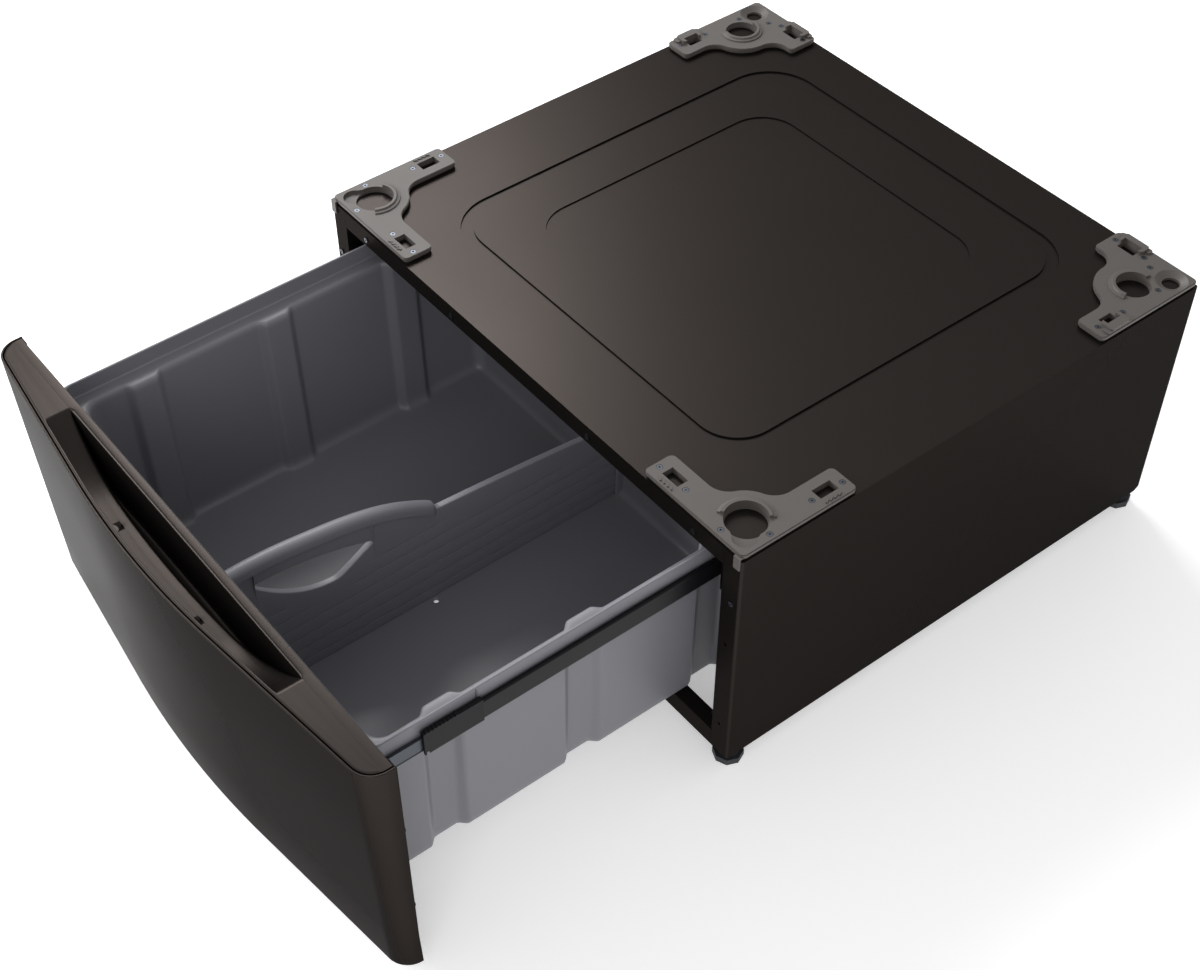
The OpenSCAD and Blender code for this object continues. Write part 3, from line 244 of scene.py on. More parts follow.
def soft_corners(corners, reach, steps=6):
    """Rounds a closed outline. Each corner V gives way to the curve
    (1 - t)^2 A + 2 t (1 - t) V + t^2 B, where A and B lie on its two sides, a reach away but
    never past 0.48 of the side. corners is an array of points, of which up to three numbers
    count as distance, and reach one distance each."""
    corners = np.asarray(corners, float)
    reach = np.asarray(reach, float)[..., None]
    before = np.roll(corners, 1, axis=-2) - corners
    after = np.roll(corners, -1, axis=-2) - corners
    share = [
        np.minimum(reach / (np.linalg.norm(side[..., :3], axis=-1, keepdims=True) + 1e-12), 0.48)
        for side in (before, after)
    ]
    start = (corners + before * share[0])[..., None, :]
    end = (corners + after * share[1])[..., None, :]
    t = np.linspace(0, 1, steps)[:, None]
    curve = (1 - t) ** 2 * start + 2 * t * (1 - t) * corners[..., None, :] + t**2 * end
    return curve.reshape(*corners.shape[:-2], -1, corners.shape[-1])


def grid_faces(rows, columns):
    """Quads of a grid of points whose rows and columns both close on themselves."""
    i, j = np.meshgrid(np.arange(rows), np.arange(columns), indexing="ij")
    i2, j2 = (i + 1) % rows, (j + 1) % columns
    quads = [i * columns + j, i2 * columns + j, i2 * columns + j2, i * columns + j2]
    return np.stack(quads, axis=-1).reshape(-1, 4).tolist()


def tube_faces(rows, columns):
    """Quads of a grid that closes round its rows, with one flat face at each end."""
    quads = grid_faces(rows, columns)[: (rows - 1) * columns]
    last = (rows - 1) * columns
    return quads + [list(range(columns)), list(range(last, last + columns))[::-1]]


def turned_out(points, faces):
    """The faces of a closed shell, all turned over if the volume under them is negative. Two
    triangles stand for each face, also for a long end face, as only the sign counts."""
    halves = [face[:3] for face in faces] + [face[:1] + face[2:4] for face in faces]
    corners = (points - points.mean(axis=0))[np.array(halves)]
    volume = np.einsum("ij,ij", corners[:, 0], np.cross(corners[:, 1], corners[:, 2]))
    return faces if volume > 0 else [face[::-1] for face in faces]


def make_piece(name, shells, body, slot, node):
    """A mesh object of closed shells, each a grid of points in the drawer's millimetres and
    its faces. It rides on a body, wears a slot's material and replaces a CAD node."""
    points, faces, first = [], [], 0
    for grid, own_faces in shells:
        flat = (np.reshape(grid, (-1, 3)) + DRAWER_SHIFT) * MM
        faces += [[first + k for k in face] for face in turned_out(flat, own_faces)]
        points.append(flat)
        first += len(flat)
    mesh = bpy.data.meshes.new(name)
    mesh.from_pydata(np.concatenate(points).tolist(), [], faces)
    mesh.shade_smooth()
    piece = bpy.data.objects.new(name, mesh)
    bpy.context.scene.collection.objects.link(piece)
    dress(piece, slot)
    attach(piece, body)
    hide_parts(node)


def smooth_step(x):
    """0 below 0, 1 above 1, and 3 x^2 - 2 x^3 between."""
    x = np.clip(x, 0, 1)
    return x * x * (3 - 2 * x)


# ---- tub -----------------------------------------------------------------------------------

WELL = (270.0, 246.5)  # half width and half length of the tub's well at its top
TUB_MIDDLE_Y = 266.9
PILASTERS = (89.0, 250.0, 411.0)  # their middles along the tub's sides
PILASTER_FLAT = 12.5  # half width of a pilaster's face
PILASTER_RAMP = 11.0
LEDGE_W = 17.0  # the well's outline to the lip's inner face
LEDGE_Z = 249.5
LIP_TOP_Z = 268.0
TUB_FLOOR_Z = 35.0
FLOOR_EDGE = -22.0  # where the flat floor starts, from the well's outline
DRAIN = (10.5, 250.5, 3.0)  # middle and radius
NOTCH_Y = 115.6  # the narrow slot in each side lip
NOTCH_HALF = 0.65
NOTCH_DEPTH = 1.9
FOLLOW_MM = 20  # what a pilaster's start or end counts for along the section, in mm


def tub_ring():
    """The tub's outline seen from above, as four straight sides and four quarter circles in
    turn. Returns each point's place along its side, its outward normal, which corner it turns
    round, as signs, or zero on a side, and how far a pilaster stands in there: all of it over
    the pilaster's face, falling off by a smooth step over the ramp beside it."""
    half_x, half_y = np.array(WELL) - size("tub_corner")
    ramps = [y + side * np.linspace(11, 25, 10) for side in (-1, 1) for y in PILASTERS]
    notch = NOTCH_Y + np.array([-0.75, -0.6, 0.6, 0.75])
    along = np.concatenate(ramps + [notch]) - TUB_MIDDLE_Y
    along = np.unique(np.concatenate([along, np.linspace(0.5 - half_y, half_y - 0.5, 40)]))
    across = np.linspace(-1, 1, 40) * (half_x - 0.5)
    turn = np.linspace(0, np.pi / 2, 14)
    signs = [(1, 1), (-1, 1), (-1, -1), (1, -1)]
    place, angle, corner = [], [], []
    for k in range(4):
        run = (along, across[::-1], along[::-1], across)[k]
        axis = (0, 1) if k % 2 == 0 else (1, 0)
        place += [run[:, None] * axis, np.zeros((turn.size, 2))]
        angle += [np.full(run.size, k * np.pi / 2), k * np.pi / 2 + turn]
        corner += [np.zeros((run.size, 2)), np.tile(signs[k], (turn.size, 1))]
    place, angle, corner = (np.concatenate(parts) for parts in (place, angle, corner))
    normal = np.stack([np.cos(angle), np.sin(angle)], axis=-1).round(12)
    y = place[:, 1:] + TUB_MIDDLE_Y
    ramp_end = PILASTER_FLAT + PILASTER_RAMP
    stand = smooth_step((ramp_end - np.abs(y - np.array(PILASTERS))) / PILASTER_RAMP).max(axis=1)
    on_long_side = (np.abs(place[:, 1]) > 0) & (np.abs(normal[:, 0]) > 0.999)
    return place, normal, corner, stand * on_long_side


def tub_profile():
    """The closed section of the tub's wall, lip and floor, as rows of four numbers: the
    distance out of the well's outline, the height, how much a pilaster moves the row in,
    and how far the row has gone from the outline towards the drain hole. A fifth number
    here is the reach of each corner's round."""
    wall = size("tub_wall")
    floor, under, ledge_under = TUB_FLOOR_Z, TUB_FLOOR_Z - wall, LEDGE_Z - wall
    corners = np.array([
        # lip, and the ledge inside it, from which the pilasters start
        (LEDGE_W + wall, LIP_TOP_Z, 0, 0, 1.4),
        (LEDGE_W, LIP_TOP_Z, 0, 0, 1.4),
        (LEDGE_W, LEDGE_Z, 0, 0, 2.5),
        (13, LEDGE_Z, 0, 0, 0.2),
        (10, LEDGE_Z, 1, 0, 0.2),
        (0, LEDGE_Z, 1, 0, 9),
        # inner wall, drawn in towards the floor
        (-0.9, 200, 1, 0, 0.1),
        (-2.8, 100, 1, 0, 0.1),
        (-4.03, floor, 1, 0, 14),
        # floor as far as the drain hole, and back underneath
        (FLOOR_EDGE, floor, 1, 0, 0.2),
        (FLOOR_EDGE, floor, 0, 0.1, 0.2),
        (FLOOR_EDGE, floor, 0, 0.55, 0.2),
        (FLOOR_EDGE, floor, 0, 1, 0.2),
        (FLOOR_EDGE, under, 0, 1, 0.2),
        (FLOOR_EDGE, under, 0, 0.1, 0.2),
        (FLOOR_EDGE, under, 1, 0, 0.2),
        # outer wall, a wall's thickness out
        (wall - 4.09, under, 1, 0, 17),
        (wall - 2.8, 100, 1, 0, 0.1),
        (wall - 0.9, 200, 1, 0, 0.1),
        # ledge from below, and the lip's outer face
        (wall, ledge_under, 1, 0, 6),
        (10, ledge_under, 1, 0, 0.2),
        (13, ledge_under, 0, 0, 0.2),
        (LEDGE_W + wall, ledge_under, 0, 0, 2),
        (LEDGE_W + wall, LEDGE_Z + 2.5, 0, 0, 0.1),
        (LEDGE_W + wall, LIP_TOP_Z - 2.5, 0, 0, 0.1),
    ])
    scale = (1, 1, FOLLOW_MM, 1)
    return soft_corners(corners[:, :4] * scale, corners[:, 4]) / scale


def tub_surface():
    """The tub: its section carried round its outline. A row goes out from the well's sides by
    its distance, less the pilaster's depth where one stands, and turns each corner on an arc
    of the corner's radius, or of what is left of it further in. Sides are shortened in
    proportion where the arc is smaller. The floor's rows close in on the drain hole's circle,
    each point along its own ray."""
    well, tub_corner, lip_out = np.array(WELL), size("tub_corner"), LEDGE_W + size("tub_wall")
    place, normal, corner, stand = tub_ring()
    out, height, follow, inward = tub_profile().T
    notch = np.abs(place[:, 1] + TUB_MIDDLE_Y - NOTCH_Y) < NOTCH_HALF
    on_lip = (out > lip_out - 0.1) & (height > LEDGE_Z + 2) & (height < LIP_TOP_Z - 2)
    moved = out[None, :] - size("pilaster_depth") * stand[:, None] * follow[None, :]
    moved = moved - NOTCH_DEPTH * notch[:, None] * on_lip[None, :]
    radius = np.clip(tub_corner + out, 1.0, tub_corner)
    turned = np.abs(corner[:, :1]) > 0
    fit = np.minimum(1, (well + (out - radius)[:, None]) / (well - tub_corner))
    on_side = place[:, None] * fit + normal[:, None] * (np.abs(normal) @ well)[:, None, None]
    on_side = on_side + normal[:, None] * moved[..., None]
    middle = corner[:, None] * (well + (out - radius)[:, None])
    on_corner = middle + normal[:, None] * radius[:, None]
    ring = np.where(turned[..., None], on_corner, on_side)
    drain = np.array([DRAIN[0], DRAIN[1] - TUB_MIDDLE_Y])
    ray = ring - drain
    circle = drain + DRAIN[2] * ray / np.linalg.norm(ray, axis=-1, keepdims=True)
    share = inward[None, :, None]
    plan = (1 - share) * ring + share * circle
    rise = np.broadcast_to(height[None, :, None], plan.shape[:2] + (1,))
    return np.concatenate([plan + (0, TUB_MIDDLE_Y), rise], axis=-1)


def guide_ribs():
    """Four ribs that hold the divider's ends: a rounded section, 1.5 mm times the cosine to
    the power 0.6 by 5.5 mm times the sine to it, carried up from the floor. It leans out as
    the wall does and is drawn in to a point at each end."""
    angle = np.linspace(0, 2 * np.pi, 16, endpoint=False)
    corner = np.stack([np.cos(angle), np.sin(angle)], axis=-1)
    section = np.sign(corner) * np.abs(corner) ** 0.6 * (1.5, 5.5)
    rise = np.array([30, 30, 31, 60, 95, 125.5, 128, 129, 129])
    girth = np.array([0.02, 1, 1, 1, 1, 1, 0.96, 0.85, 0.02])
    lean = 0.01905 * (rise - 50)
    ribs = []
    for x, end in ((6.1, 1), (-6.1, 1), (6.1, -1), (-6.1, -1)):
        wall = TUB_MIDDLE_Y + end * (WELL[1] - 3.744 + lean - 3.6)
        middle = np.stack([np.full(rise.size, x), wall], axis=-1)
        plan = section[None] * girth[:, None, None] * (1, end) + middle[:, None]
        up = np.broadcast_to(rise[:, None, None], plan.shape[:2] + (1,))
        ribs.append(np.concatenate([plan, up], axis=-1)[:, :: (1 if end > 0 else -1)])
    return ribs


# ---- drawer front --------------------------------------------------------------------------

FRONT_TOP_Z = 306.7
FRONT_BOTTOM_Z = -4.0
HALF_W = 343.0  # half the front's width
BOW_R = 1110.0
FRONT_DEPTH = 62.0
FRONT_CORNER_R = 25.0
FLANK_X = 0.184 * 2 * HALF_W  # where the bow gives way to a straight flank
FLANK_SLOPE = FLANK_X / BOW_R
FLANK_Y = BOW_R - FRONT_DEPTH - np.sqrt(BOW_R**2 - FLANK_X**2)
CORNER_X = HALF_W - FRONT_CORNER_R
FLANK_FALL = (CORNER_X - FLANK_X) * FLANK_SLOPE  # how far the flank falls back
CORNER_Y = FLANK_Y + FLANK_FALL + FRONT_CORNER_R * np.hypot(1, FLANK_SLOPE)
FRONT_LEAN = np.tan(np.radians(1.7))
SHEET_T = 1.2
CAP_INSET = 3.6  # the front's face to the cap's edge
SCOOP_WALL = 7.0  # the front's face to the scoop
SCOOP_REAR_Y = -11.5
SCOOP_END = 215.0  # half length of the scoop
SCOOP_RUN = 110.0  # half length of its level floor
SLOT_RUN = 150.0
SLOT_HALF = 207.0
SLOT_BULGE = 15.5
ARC_START = 4.0
SCOOP_HOLE_X = (72.0, 77.0)
SCOOP_HOLE_Y = (-41.0, -36.0)
HOLE_DEPTH = 5.0


def front_outline():
    """The bowed front seen from above, from its right rear edge to its left one: a straight
    side, a round corner, a straight flank, the wide arc, and the same mirrored. The arc is a
    circle's about a centre on the middle line behind the front, and the flank runs on along
    its tangent. Returns the points and the outward normals."""
    lean = np.arctan(FLANK_SLOPE)
    turn = np.linspace(0, np.pi / 2 - lean, 16)
    corner = np.stack([np.cos(turn), -np.sin(turn)], axis=-1)
    x = np.linspace(CORNER_X - 1, FLANK_X, 24)
    flank = np.stack([x, FLANK_Y + (x - FLANK_X) * FLANK_SLOPE], axis=-1)
    bow = np.linspace(FLANK_X, 0, 21)[1:]
    arc = np.stack([bow, BOW_R - FRONT_DEPTH - np.sqrt(BOW_R**2 - bow**2)], axis=-1)
    side = np.stack([np.full(6, HALF_W), np.linspace(-0.05, CORNER_Y + 0.5, 6)], axis=-1)
    points = np.concatenate([side, (CORNER_X, CORNER_Y) + FRONT_CORNER_R * corner, flank, arc])
    normals = np.concatenate([
        np.tile((1.0, 0.0), (6, 1)),
        corner,
        np.tile((np.sin(lean), -np.cos(lean)), (24, 1)),
        np.stack([bow, arc[:, 1] - BOW_R + FRONT_DEPTH], axis=-1) / BOW_R,
    ])
    other = points[-2::-1] * (-1, 1), normals[-2::-1] * (-1, 1)
    return np.concatenate([points, other[0]]), np.concatenate([normals, other[1]])


def front_skin():
    """The painted skin: a sheet's section with a rounded hem on top, carried along the front's
    outline. Each point lies in from the outline by its depth, along the normal, and back by
    the lean times its drop below the top. The lean fades out from the corner to the rear
    edge."""
    place, normal = front_outline()
    hem = 2 * SHEET_T
    corners = [
        (0, FRONT_BOTTOM_Z),
        (0, 60),
        (0, 180),
        (0, FRONT_TOP_Z),
        (hem, FRONT_TOP_Z),
        (hem, FRONT_TOP_Z - 5),
        (SHEET_T, FRONT_TOP_Z - 5),
        (SHEET_T, 180),
        (SHEET_T, FRONT_BOTTOM_Z),
    ]
    section = soft_corners(corners, [0.5, 0.1, 0.1, 1.15, 1.15, 0.3, 0.3, 0.1, 0.3])
    plan = place[:, None] - normal[:, None] * section[None, :, :1]
    height = np.broadcast_to(section[None, :, 1], plan.shape[:2])
    share = np.clip(plan[..., 1] / CORNER_Y, 0, 1)
    back = plan[..., 1] + (FRONT_TOP_Z - height) * FRONT_LEAN * share
    return np.stack([plan[..., 0], back, height], axis=-1)


def face_y(x, inset):
    """Where the front's outline, moved in by inset along its normals, runs at a distance x
    from the middle: straight between its points."""
    place, normal = front_outline()
    moved = place - normal * inset
    moved = moved[(moved[:, 1] <= CORNER_Y + 1e-9) & (np.diff(moved[:, 0], prepend=1e9) < -1e-9)]
    order = np.argsort(moved[:, 0])
    return np.interp(x, moved[order, 0], moved[order, 1])


def front_floor():
    """The plate that closes the skin's foot, and the two flanges behind: flat sections
    carried across the front, as wide at each station as the outline leaves room for."""
    half = HALF_W - SHEET_T
    turn = np.sin(np.linspace(0, np.pi / 2, 12)) * (FRONT_CORNER_R - SHEET_T)
    x = np.concatenate([
        -(CORNER_X + turn)[::-1], np.linspace(-CORNER_X + 4, CORNER_X - 4, 60), CORNER_X + turn
    ])
    front = face_y(x, SHEET_T) + (FRONT_TOP_Z - FRONT_BOTTOM_Z) * FRONT_LEAN
    front = np.minimum(front, -1.5)
    rear = np.full(x.size, -0.3)
    shells = [plate_along(x, front, rear, FRONT_BOTTOM_Z, FRONT_BOTTOM_Z + SHEET_T)]
    front, rear = np.full(2, -SHEET_T), np.full(2, -0.02)
    for side in (-1, 1):
        x = side * np.array([half - 10.8, half])
        shells.append(plate_along(x, front, rear, FRONT_BOTTOM_Z, FRONT_TOP_Z - SHEET_T))
    return shells


def plate_along(x, front, rear, low, high):
    """A plate carried across x, from front to rear in y and from low to high in z."""
    edges = ((front, low), (rear, low), (rear, high), (front, high))
    ends = [np.stack([x, y, np.full(x.size, z)], axis=-1) for y, z in edges]
    return np.stack(ends, axis=1)


def hollow_depth(x, run, depth):
    """Depth of a hollow along x: level to a few millimetres short of run, then a circle's arc
    about a centre above the top, which is depth deep at run and comes up to the top at the
    scoop's end."""
    length = SCOOP_END - run
    centre = (length**2 + 2 * ARC_START * length - depth**2) / (2 * depth)
    reach = np.hypot(ARC_START, centre + depth)
    past = np.maximum(np.abs(x) - run + ARC_START, 0)
    return np.sqrt(np.maximum(reach**2 - past**2, 0)) - centre


def cap_stations():
    """Places across x at which the cap's section is taken, closer where its outline turns,
    where the hollows end and at the sides of the two holes."""
    turn = np.sin(np.linspace(0, np.pi / 2, 12)[1:]) * (FRONT_CORNER_R - CAP_INSET)
    near, far = SCOOP_HOLE_X
    hole = np.array([near, near + 0.1, far - 0.1, far])
    ends = np.linspace(100, 226, 64)
    middle = np.linspace(-CORNER_X, CORNER_X, 90)
    sides = [sign * part for sign in (-1, 1) for part in (ends, CORNER_X + turn, hole)]
    return np.unique(np.concatenate([middle] + sides).round(4))


def front_cap():
    """The cap: at each station across x its section steps down from the rim into the scoop,
    on into the finger slot, up to the rolled rear edge, and returns under itself. The hollows
    are as deep as hollow_depth gives, and the slot's front edge, the leaf, is a circle's arc
    that bulges towards the front. Each value keeps a hair's distance from the one before, so
    that no face is lost where the hollows have run out."""
    x = cap_stations()
    near = face_y(x, CAP_INSET)
    open_y = np.maximum(np.minimum(face_y(x, SCOOP_WALL), SCOOP_REAR_Y - 0.5), near + 0.2)
    leaf_r = (SLOT_HALF**2 + SLOT_BULGE**2) / (2 * SLOT_BULGE)
    leaf = leaf_r - SLOT_BULGE + SCOOP_REAR_Y
    leaf = leaf - np.sqrt(leaf_r**2 - np.minimum(np.abs(x), SLOT_HALF) ** 2)
    leaf = np.maximum(np.minimum(leaf, SCOOP_REAR_Y - 0.1), open_y + 0.1)
    rear = np.maximum(SCOOP_REAR_Y, leaf + 0.1)
    in_scoop = np.abs(x) < SCOOP_END
    dip = np.where(in_scoop, hollow_depth(x, SCOOP_RUN, size("scoop_depth")), 0)
    dip = np.maximum(dip, 0.01)
    well = np.where(in_scoop, hollow_depth(x, SLOT_RUN, size("slot_depth")), 0)
    well = np.maximum(well * smooth_step((SCOOP_END - np.abs(x)) / 12), dip + 0.05)

    hole_near, hole_far = SCOOP_HOLE_X
    in_hole = (np.abs(x) > hole_near + 0.05) & (np.abs(x) < hole_far - 0.05)
    pit = dip + np.where(in_hole, HOLE_DEPTH, 0.02)
    by_hole = (np.abs(x) > hole_near - 1) & (np.abs(x) < hole_far + 1)
    pit_y = [
        np.where(by_hole, y, open_y + share * (leaf - open_y))
        for y, share in zip(SCOOP_HOLE_Y, (0.3, 0.6))
    ]

    # the underside: 2 mm below the hollows, and as far from their walls as there is room
    under_dip, under_well = np.maximum(pit + 2, 3.1), np.maximum(well + 2, 3.2)
    scoop_under = np.maximum(open_y - 1.2, near + 1.7)
    leaf_under = np.maximum(leaf - 2, scoop_under + 0.1)
    rear_under = np.maximum(rear + 2, leaf_under + 0.1)
    rows = [
        # front edge and rim
        (near, -8, 0.2),
        (near, 0, 1.3),
        # down into the scoop
        (open_y, 0, 1.2),
        (open_y, -dip, 6),
        # the holes in its floor
        (pit_y[0], -dip, 0.1),
        (pit_y[0], -pit, 0.1),
        (pit_y[1], -pit, 0.1),
        (pit_y[1], -dip, 0.1),
        # over the leaf into the finger slot, and up behind it
        (leaf, -dip, 3.6),
        (leaf, -well, 5),
        (rear, -well, 5),
        (rear, 0, 3.2),
        # rear edge
        (-1.35, 0, 0.7),
        (-1.35, -18, 0.3),
        (-3.0, -18, 0.3),
        (-3.0, -3, 0.3),
        # underside, back to the front edge
        (rear_under, -3, 0.3),
        (rear_under, -under_well, 3),
        (leaf_under, -under_well, 3),
        (leaf_under, -under_dip, 1),
        (scoop_under, -under_dip, 3),
        (scoop_under, -3, 0.3),
        (near + 1.6, -3, 0.2),
        (near + 1.6, -8, 0.2),
    ]
    corners = np.stack(
        [np.stack(np.broadcast_arrays(y, z, x)[:2], axis=-1) for y, z, _ in rows], axis=1
    )
    reach = np.broadcast_to([each for _, _, each in rows], corners.shape[:2])
    section = soft_corners(corners, reach)
    across = np.broadcast_to(x[:, None], section.shape[:2])
    return np.stack([across, section[..., 0], FRONT_TOP_Z + section[..., 1]], axis=-1)


# ---- divider -------------------------------------------------------------------------------

DIVIDER_Y = (25.1, 508.7)
DIVIDER_FOOT_Z = 35.3
DIVIDER_HALF_T = 4.0
FOOT_ROUND = 17.0
GRIP_R = 405.0  # the grip's top follows a circle's arc, whose middle is next
GRIP_MIDDLE = (47.0, -179.0)
GRIP_END_Y = 264.0
GRIP_LIFT = 8.5  # how far the grip's rear end rises over the arc
PLATE_Z = (163.0, 139.0)  # the plate's top behind the grip, from its start to its end
PLATE_ARCH = 8.0
HAND_HOLE_Y = (50.0, 187.0)
HAND_HOLE_TOP_R = 373.5
KNEE = (142.0, 140.4)  # the lowest point of the hand hole's lower edge
GROOVES_Z = 49.3 + 18.17 * np.arange(6)


def divider_top(y):
    """Height of the divider's top edge: the grip's arc, which rises by a smooth step towards
    its end, then the lower plate, which falls evenly and has a slight parabola's arch."""
    arc = np.sqrt(GRIP_R**2 - (np.minimum(y, 270) - GRIP_MIDDLE[0]) ** 2) + GRIP_MIDDLE[1]
    grip = arc + GRIP_LIFT * smooth_step((y - 100) / 130)
    share = np.clip((y - GRIP_END_Y) / (DIVIDER_Y[1] - GRIP_END_Y), 0, 1)
    fall = (PLATE_Z[0] - PLATE_Z[1]) * share
    plate = PLATE_Z[0] - fall + PLATE_ARCH * share * (1 - share)
    return grip + (plate - grip) * smooth_step((y - GRIP_END_Y + 1) / 3)


def divider_bottom(y):
    """Height of the divider's foot: level, with a quarter circle up at each end, as the tub's
    floor has."""
    inward = np.minimum(np.minimum(y - DIVIDER_Y[0], DIVIDER_Y[1] - y), FOOT_ROUND)
    return DIVIDER_FOOT_Z + FOOT_ROUND - np.sqrt(FOOT_ROUND**2 - (FOOT_ROUND - inward) ** 2)


def hand_hole(y):
    """Lower and upper edge of the hand hole. The lower one falls as a parabola to a knee and
    then rises as a straight line, the two joined by a smooth maximum over about 1.5 mm. The
    upper one is an arc about the grip's middle."""
    y = np.clip(y, *HAND_HOLE_Y)
    fall = np.where(y < KNEE[0], KNEE[1] + 0.0058 * (KNEE[0] - y) ** 2, KNEE[1])
    climb = 141 + 0.57 * (y - 146)
    low = np.logaddexp(fall / 1.5, climb / 1.5) * 1.5
    high = np.sqrt(HAND_HOLE_TOP_R**2 - (y - GRIP_MIDDLE[0]) ** 2) + GRIP_MIDDLE[1]
    return low, np.maximum(high, low + 0.4)


def divider_section(low, high, half, half_t, grooved):
    """Sections of the divider across x, one for each station: up one face past its grooves,
    over the top, whose half width is half, and down the other face, its mirror. The grooves
    draw together and fade out where the section is low."""
    half_t = np.full(low.size, half_t)
    rows = [(half_t, low, 1.2)]
    if grooved:
        for k, z in enumerate(GROOVES_Z):
            room = high - 20 - 2.2 * (GROOVES_Z.size - k)
            depth = size("groove_depth") * np.clip(np.minimum(room - z, z - low - 2), 0, 1)
            z = np.clip(z, low + 2 + 2 * k, np.maximum(room, low + 2 + 2 * k))
            rows += [(half_t, z - 0.6, 0.1), (half_t - depth, z - 0.5, 0.1)]
            rows += [(half_t - depth, z + 0.5, 0.1), (half_t, z + 0.6, 0.1)]
    top = np.maximum(high - 15.5, (low + high) / 2)
    rows += [(half_t, top, 0.3), (half, top + 0.6, 2.5), (half, high, 1)]
    reach = np.stack([np.broadcast_to(r, low.shape) for _, _, r in rows], axis=1)
    reach[:, -1] = np.where(half > 4.5, half * 0.97, 1.6)
    side = np.stack([np.stack([x, z], axis=-1) for x, z, _ in rows], axis=1)
    closed = np.concatenate([side, side[:, ::-1] * (-1, 1)], axis=1)
    return soft_corners(closed, np.concatenate([reach, reach[:, ::-1]], axis=1))


def divider_shells():
    """The divider's body, cut down to the hand hole's lower edge where the hole is, and the
    handle above the hole: sections carried along y. The grip's half width falls as a quarter
    ellipse over its last 8 mm."""
    start, end = HAND_HOLE_Y
    grip_half = size("grip_width") / 2
    grip_end = GRIP_END_Y - 8 * (1 - np.cos(np.linspace(0, np.pi / 2, 10)[::-1]))
    turn = FOOT_ROUND * (1 - np.cos(np.linspace(0, np.pi / 2, 12)))
    y = np.unique(np.concatenate([
        DIVIDER_Y[0] + turn,
        np.linspace(DIVIDER_Y[0] + FOOT_ROUND, start, 12),
        [start - 0.3, start + 0.4, end - 0.4, end + 0.3],
        np.linspace(start + 0.05, end - 0.05, 70),
        np.linspace(end, GRIP_END_Y - 8, 24),
        grip_end,
        GRIP_END_Y + np.linspace(-1, 2, 8),
        np.linspace(GRIP_END_Y + 2, DIVIDER_Y[1] - FOOT_ROUND, 40),
        DIVIDER_Y[1] - turn,
    ]).round(4))
    past = np.clip((y - GRIP_END_Y + 8) / 8, 0, 1)
    spread = grip_half - DIVIDER_HALF_T
    half = DIVIDER_HALF_T + spread * np.sqrt(np.maximum(1 - past**2, 0))
    in_hole = (y > start) & (y < end)
    body_top = np.where(in_hole, hand_hole(y)[0], divider_top(y))
    body_half = np.where(in_hole, DIVIDER_HALF_T, half)
    body = divider_section(divider_bottom(y), body_top, body_half, DIVIDER_HALF_T, True)
    # the handle is a hair slimmer than the body, so that no two faces lie in one plane
    slim = 0.02
    handle_y = np.linspace(start - 3, end + 3, 80)
    handle = divider_section(
        hand_hole(handle_y)[1],
        divider_top(handle_y) - slim,
        np.full(handle_y.size, grip_half - slim),
        DIVIDER_HALF_T - slim,
        False,
    )
    shells = []
    for place, section in ((y, body), (handle_y, handle)):
        along = np.broadcast_to(place[:, None], section.shape[:2])
        points = np.stack([section[..., 0], along, section[..., 1]], axis=-1)
        shells.append((points, tube_faces(*points.shape[:2])))
    return shells


# ---- settings ----------------------------------------------------------------------------


class PedestalSizes(bpy.types.PropertyGroup):
    """Sizes of the drawer's pieces that can be changed by themselves."""

    tub_corner: FloatProperty(
        name="Tub corner",
        description="Radius of the tub's upright corners",
        default=0.017,
        min=0.01,
        max=0.02,
        unit="LENGTH",
    )
    tub_wall: FloatProperty(
        name="Tub wall",
        description="Thickness of the tub's walls, floor and lip",
        default=0.003,
        min=0.002,
        max=0.004,
        unit="LENGTH",
    )
    pilaster_depth: FloatProperty(
        name="Pilaster depth",
        description="How far the pilasters stand into the tub",
        default=0.0075,
        min=0.002,
        max=0.01,
        unit="LENGTH",
    )
    scoop_depth: FloatProperty(
        name="Scoop depth",
        description="Depth of the hand scoop in the front's cap",
        default=0.034,
        min=0.02,
        max=0.04,
        unit="LENGTH",
    )
    slot_depth: FloatProperty(
        name="Slot depth",
        description="Depth of the finger slot behind the scoop",
        default=0.06,
        min=0.045,
        max=0.065,
        unit="LENGTH",
    )
    grip_width: FloatProperty(
        name="Grip width",
        description="Width of the divider's grip",
        default=0.016,
        min=0.012,
        max=0.02,
        unit="LENGTH",
    )
    groove_depth: FloatProperty(
        name="Groove depth",
        description="Depth of the grooves along the divider",
        default=0.0009,
        min=0.0003,
        max=0.002,
        unit="LENGTH",
    )


class PedestalColours(bpy.types.PropertyGroup):
    """Colours of the finishes, as sRGB hex."""

    powder_coat: StringProperty(
        name="Powder coat", description="Coat of the cabinet and the front", default="#34302e"
    )
    seat: StringProperty(
        name="Seats", description="Plastic of the corner seats", default="#524d4a"
    )
    tub: StringProperty(
        name="Tub", description="Plastic of the tub and its divider", default="#77777d"
    )
    zinc: StringProperty(
        name="Zinc", description="Plating of slides and screws", default="#565a60"
    )
    black: StringProperty(
        name="Black", description="Middle slides and black plastic", default="#0e0e11"
    )
    rubber: StringProperty(
        name="Rubber", description="Pads of the feet", default="#24262a"
    )
    floor: StringProperty(
        name="Floor", description="Floor of the studio", default="#f6f6f6"
    )


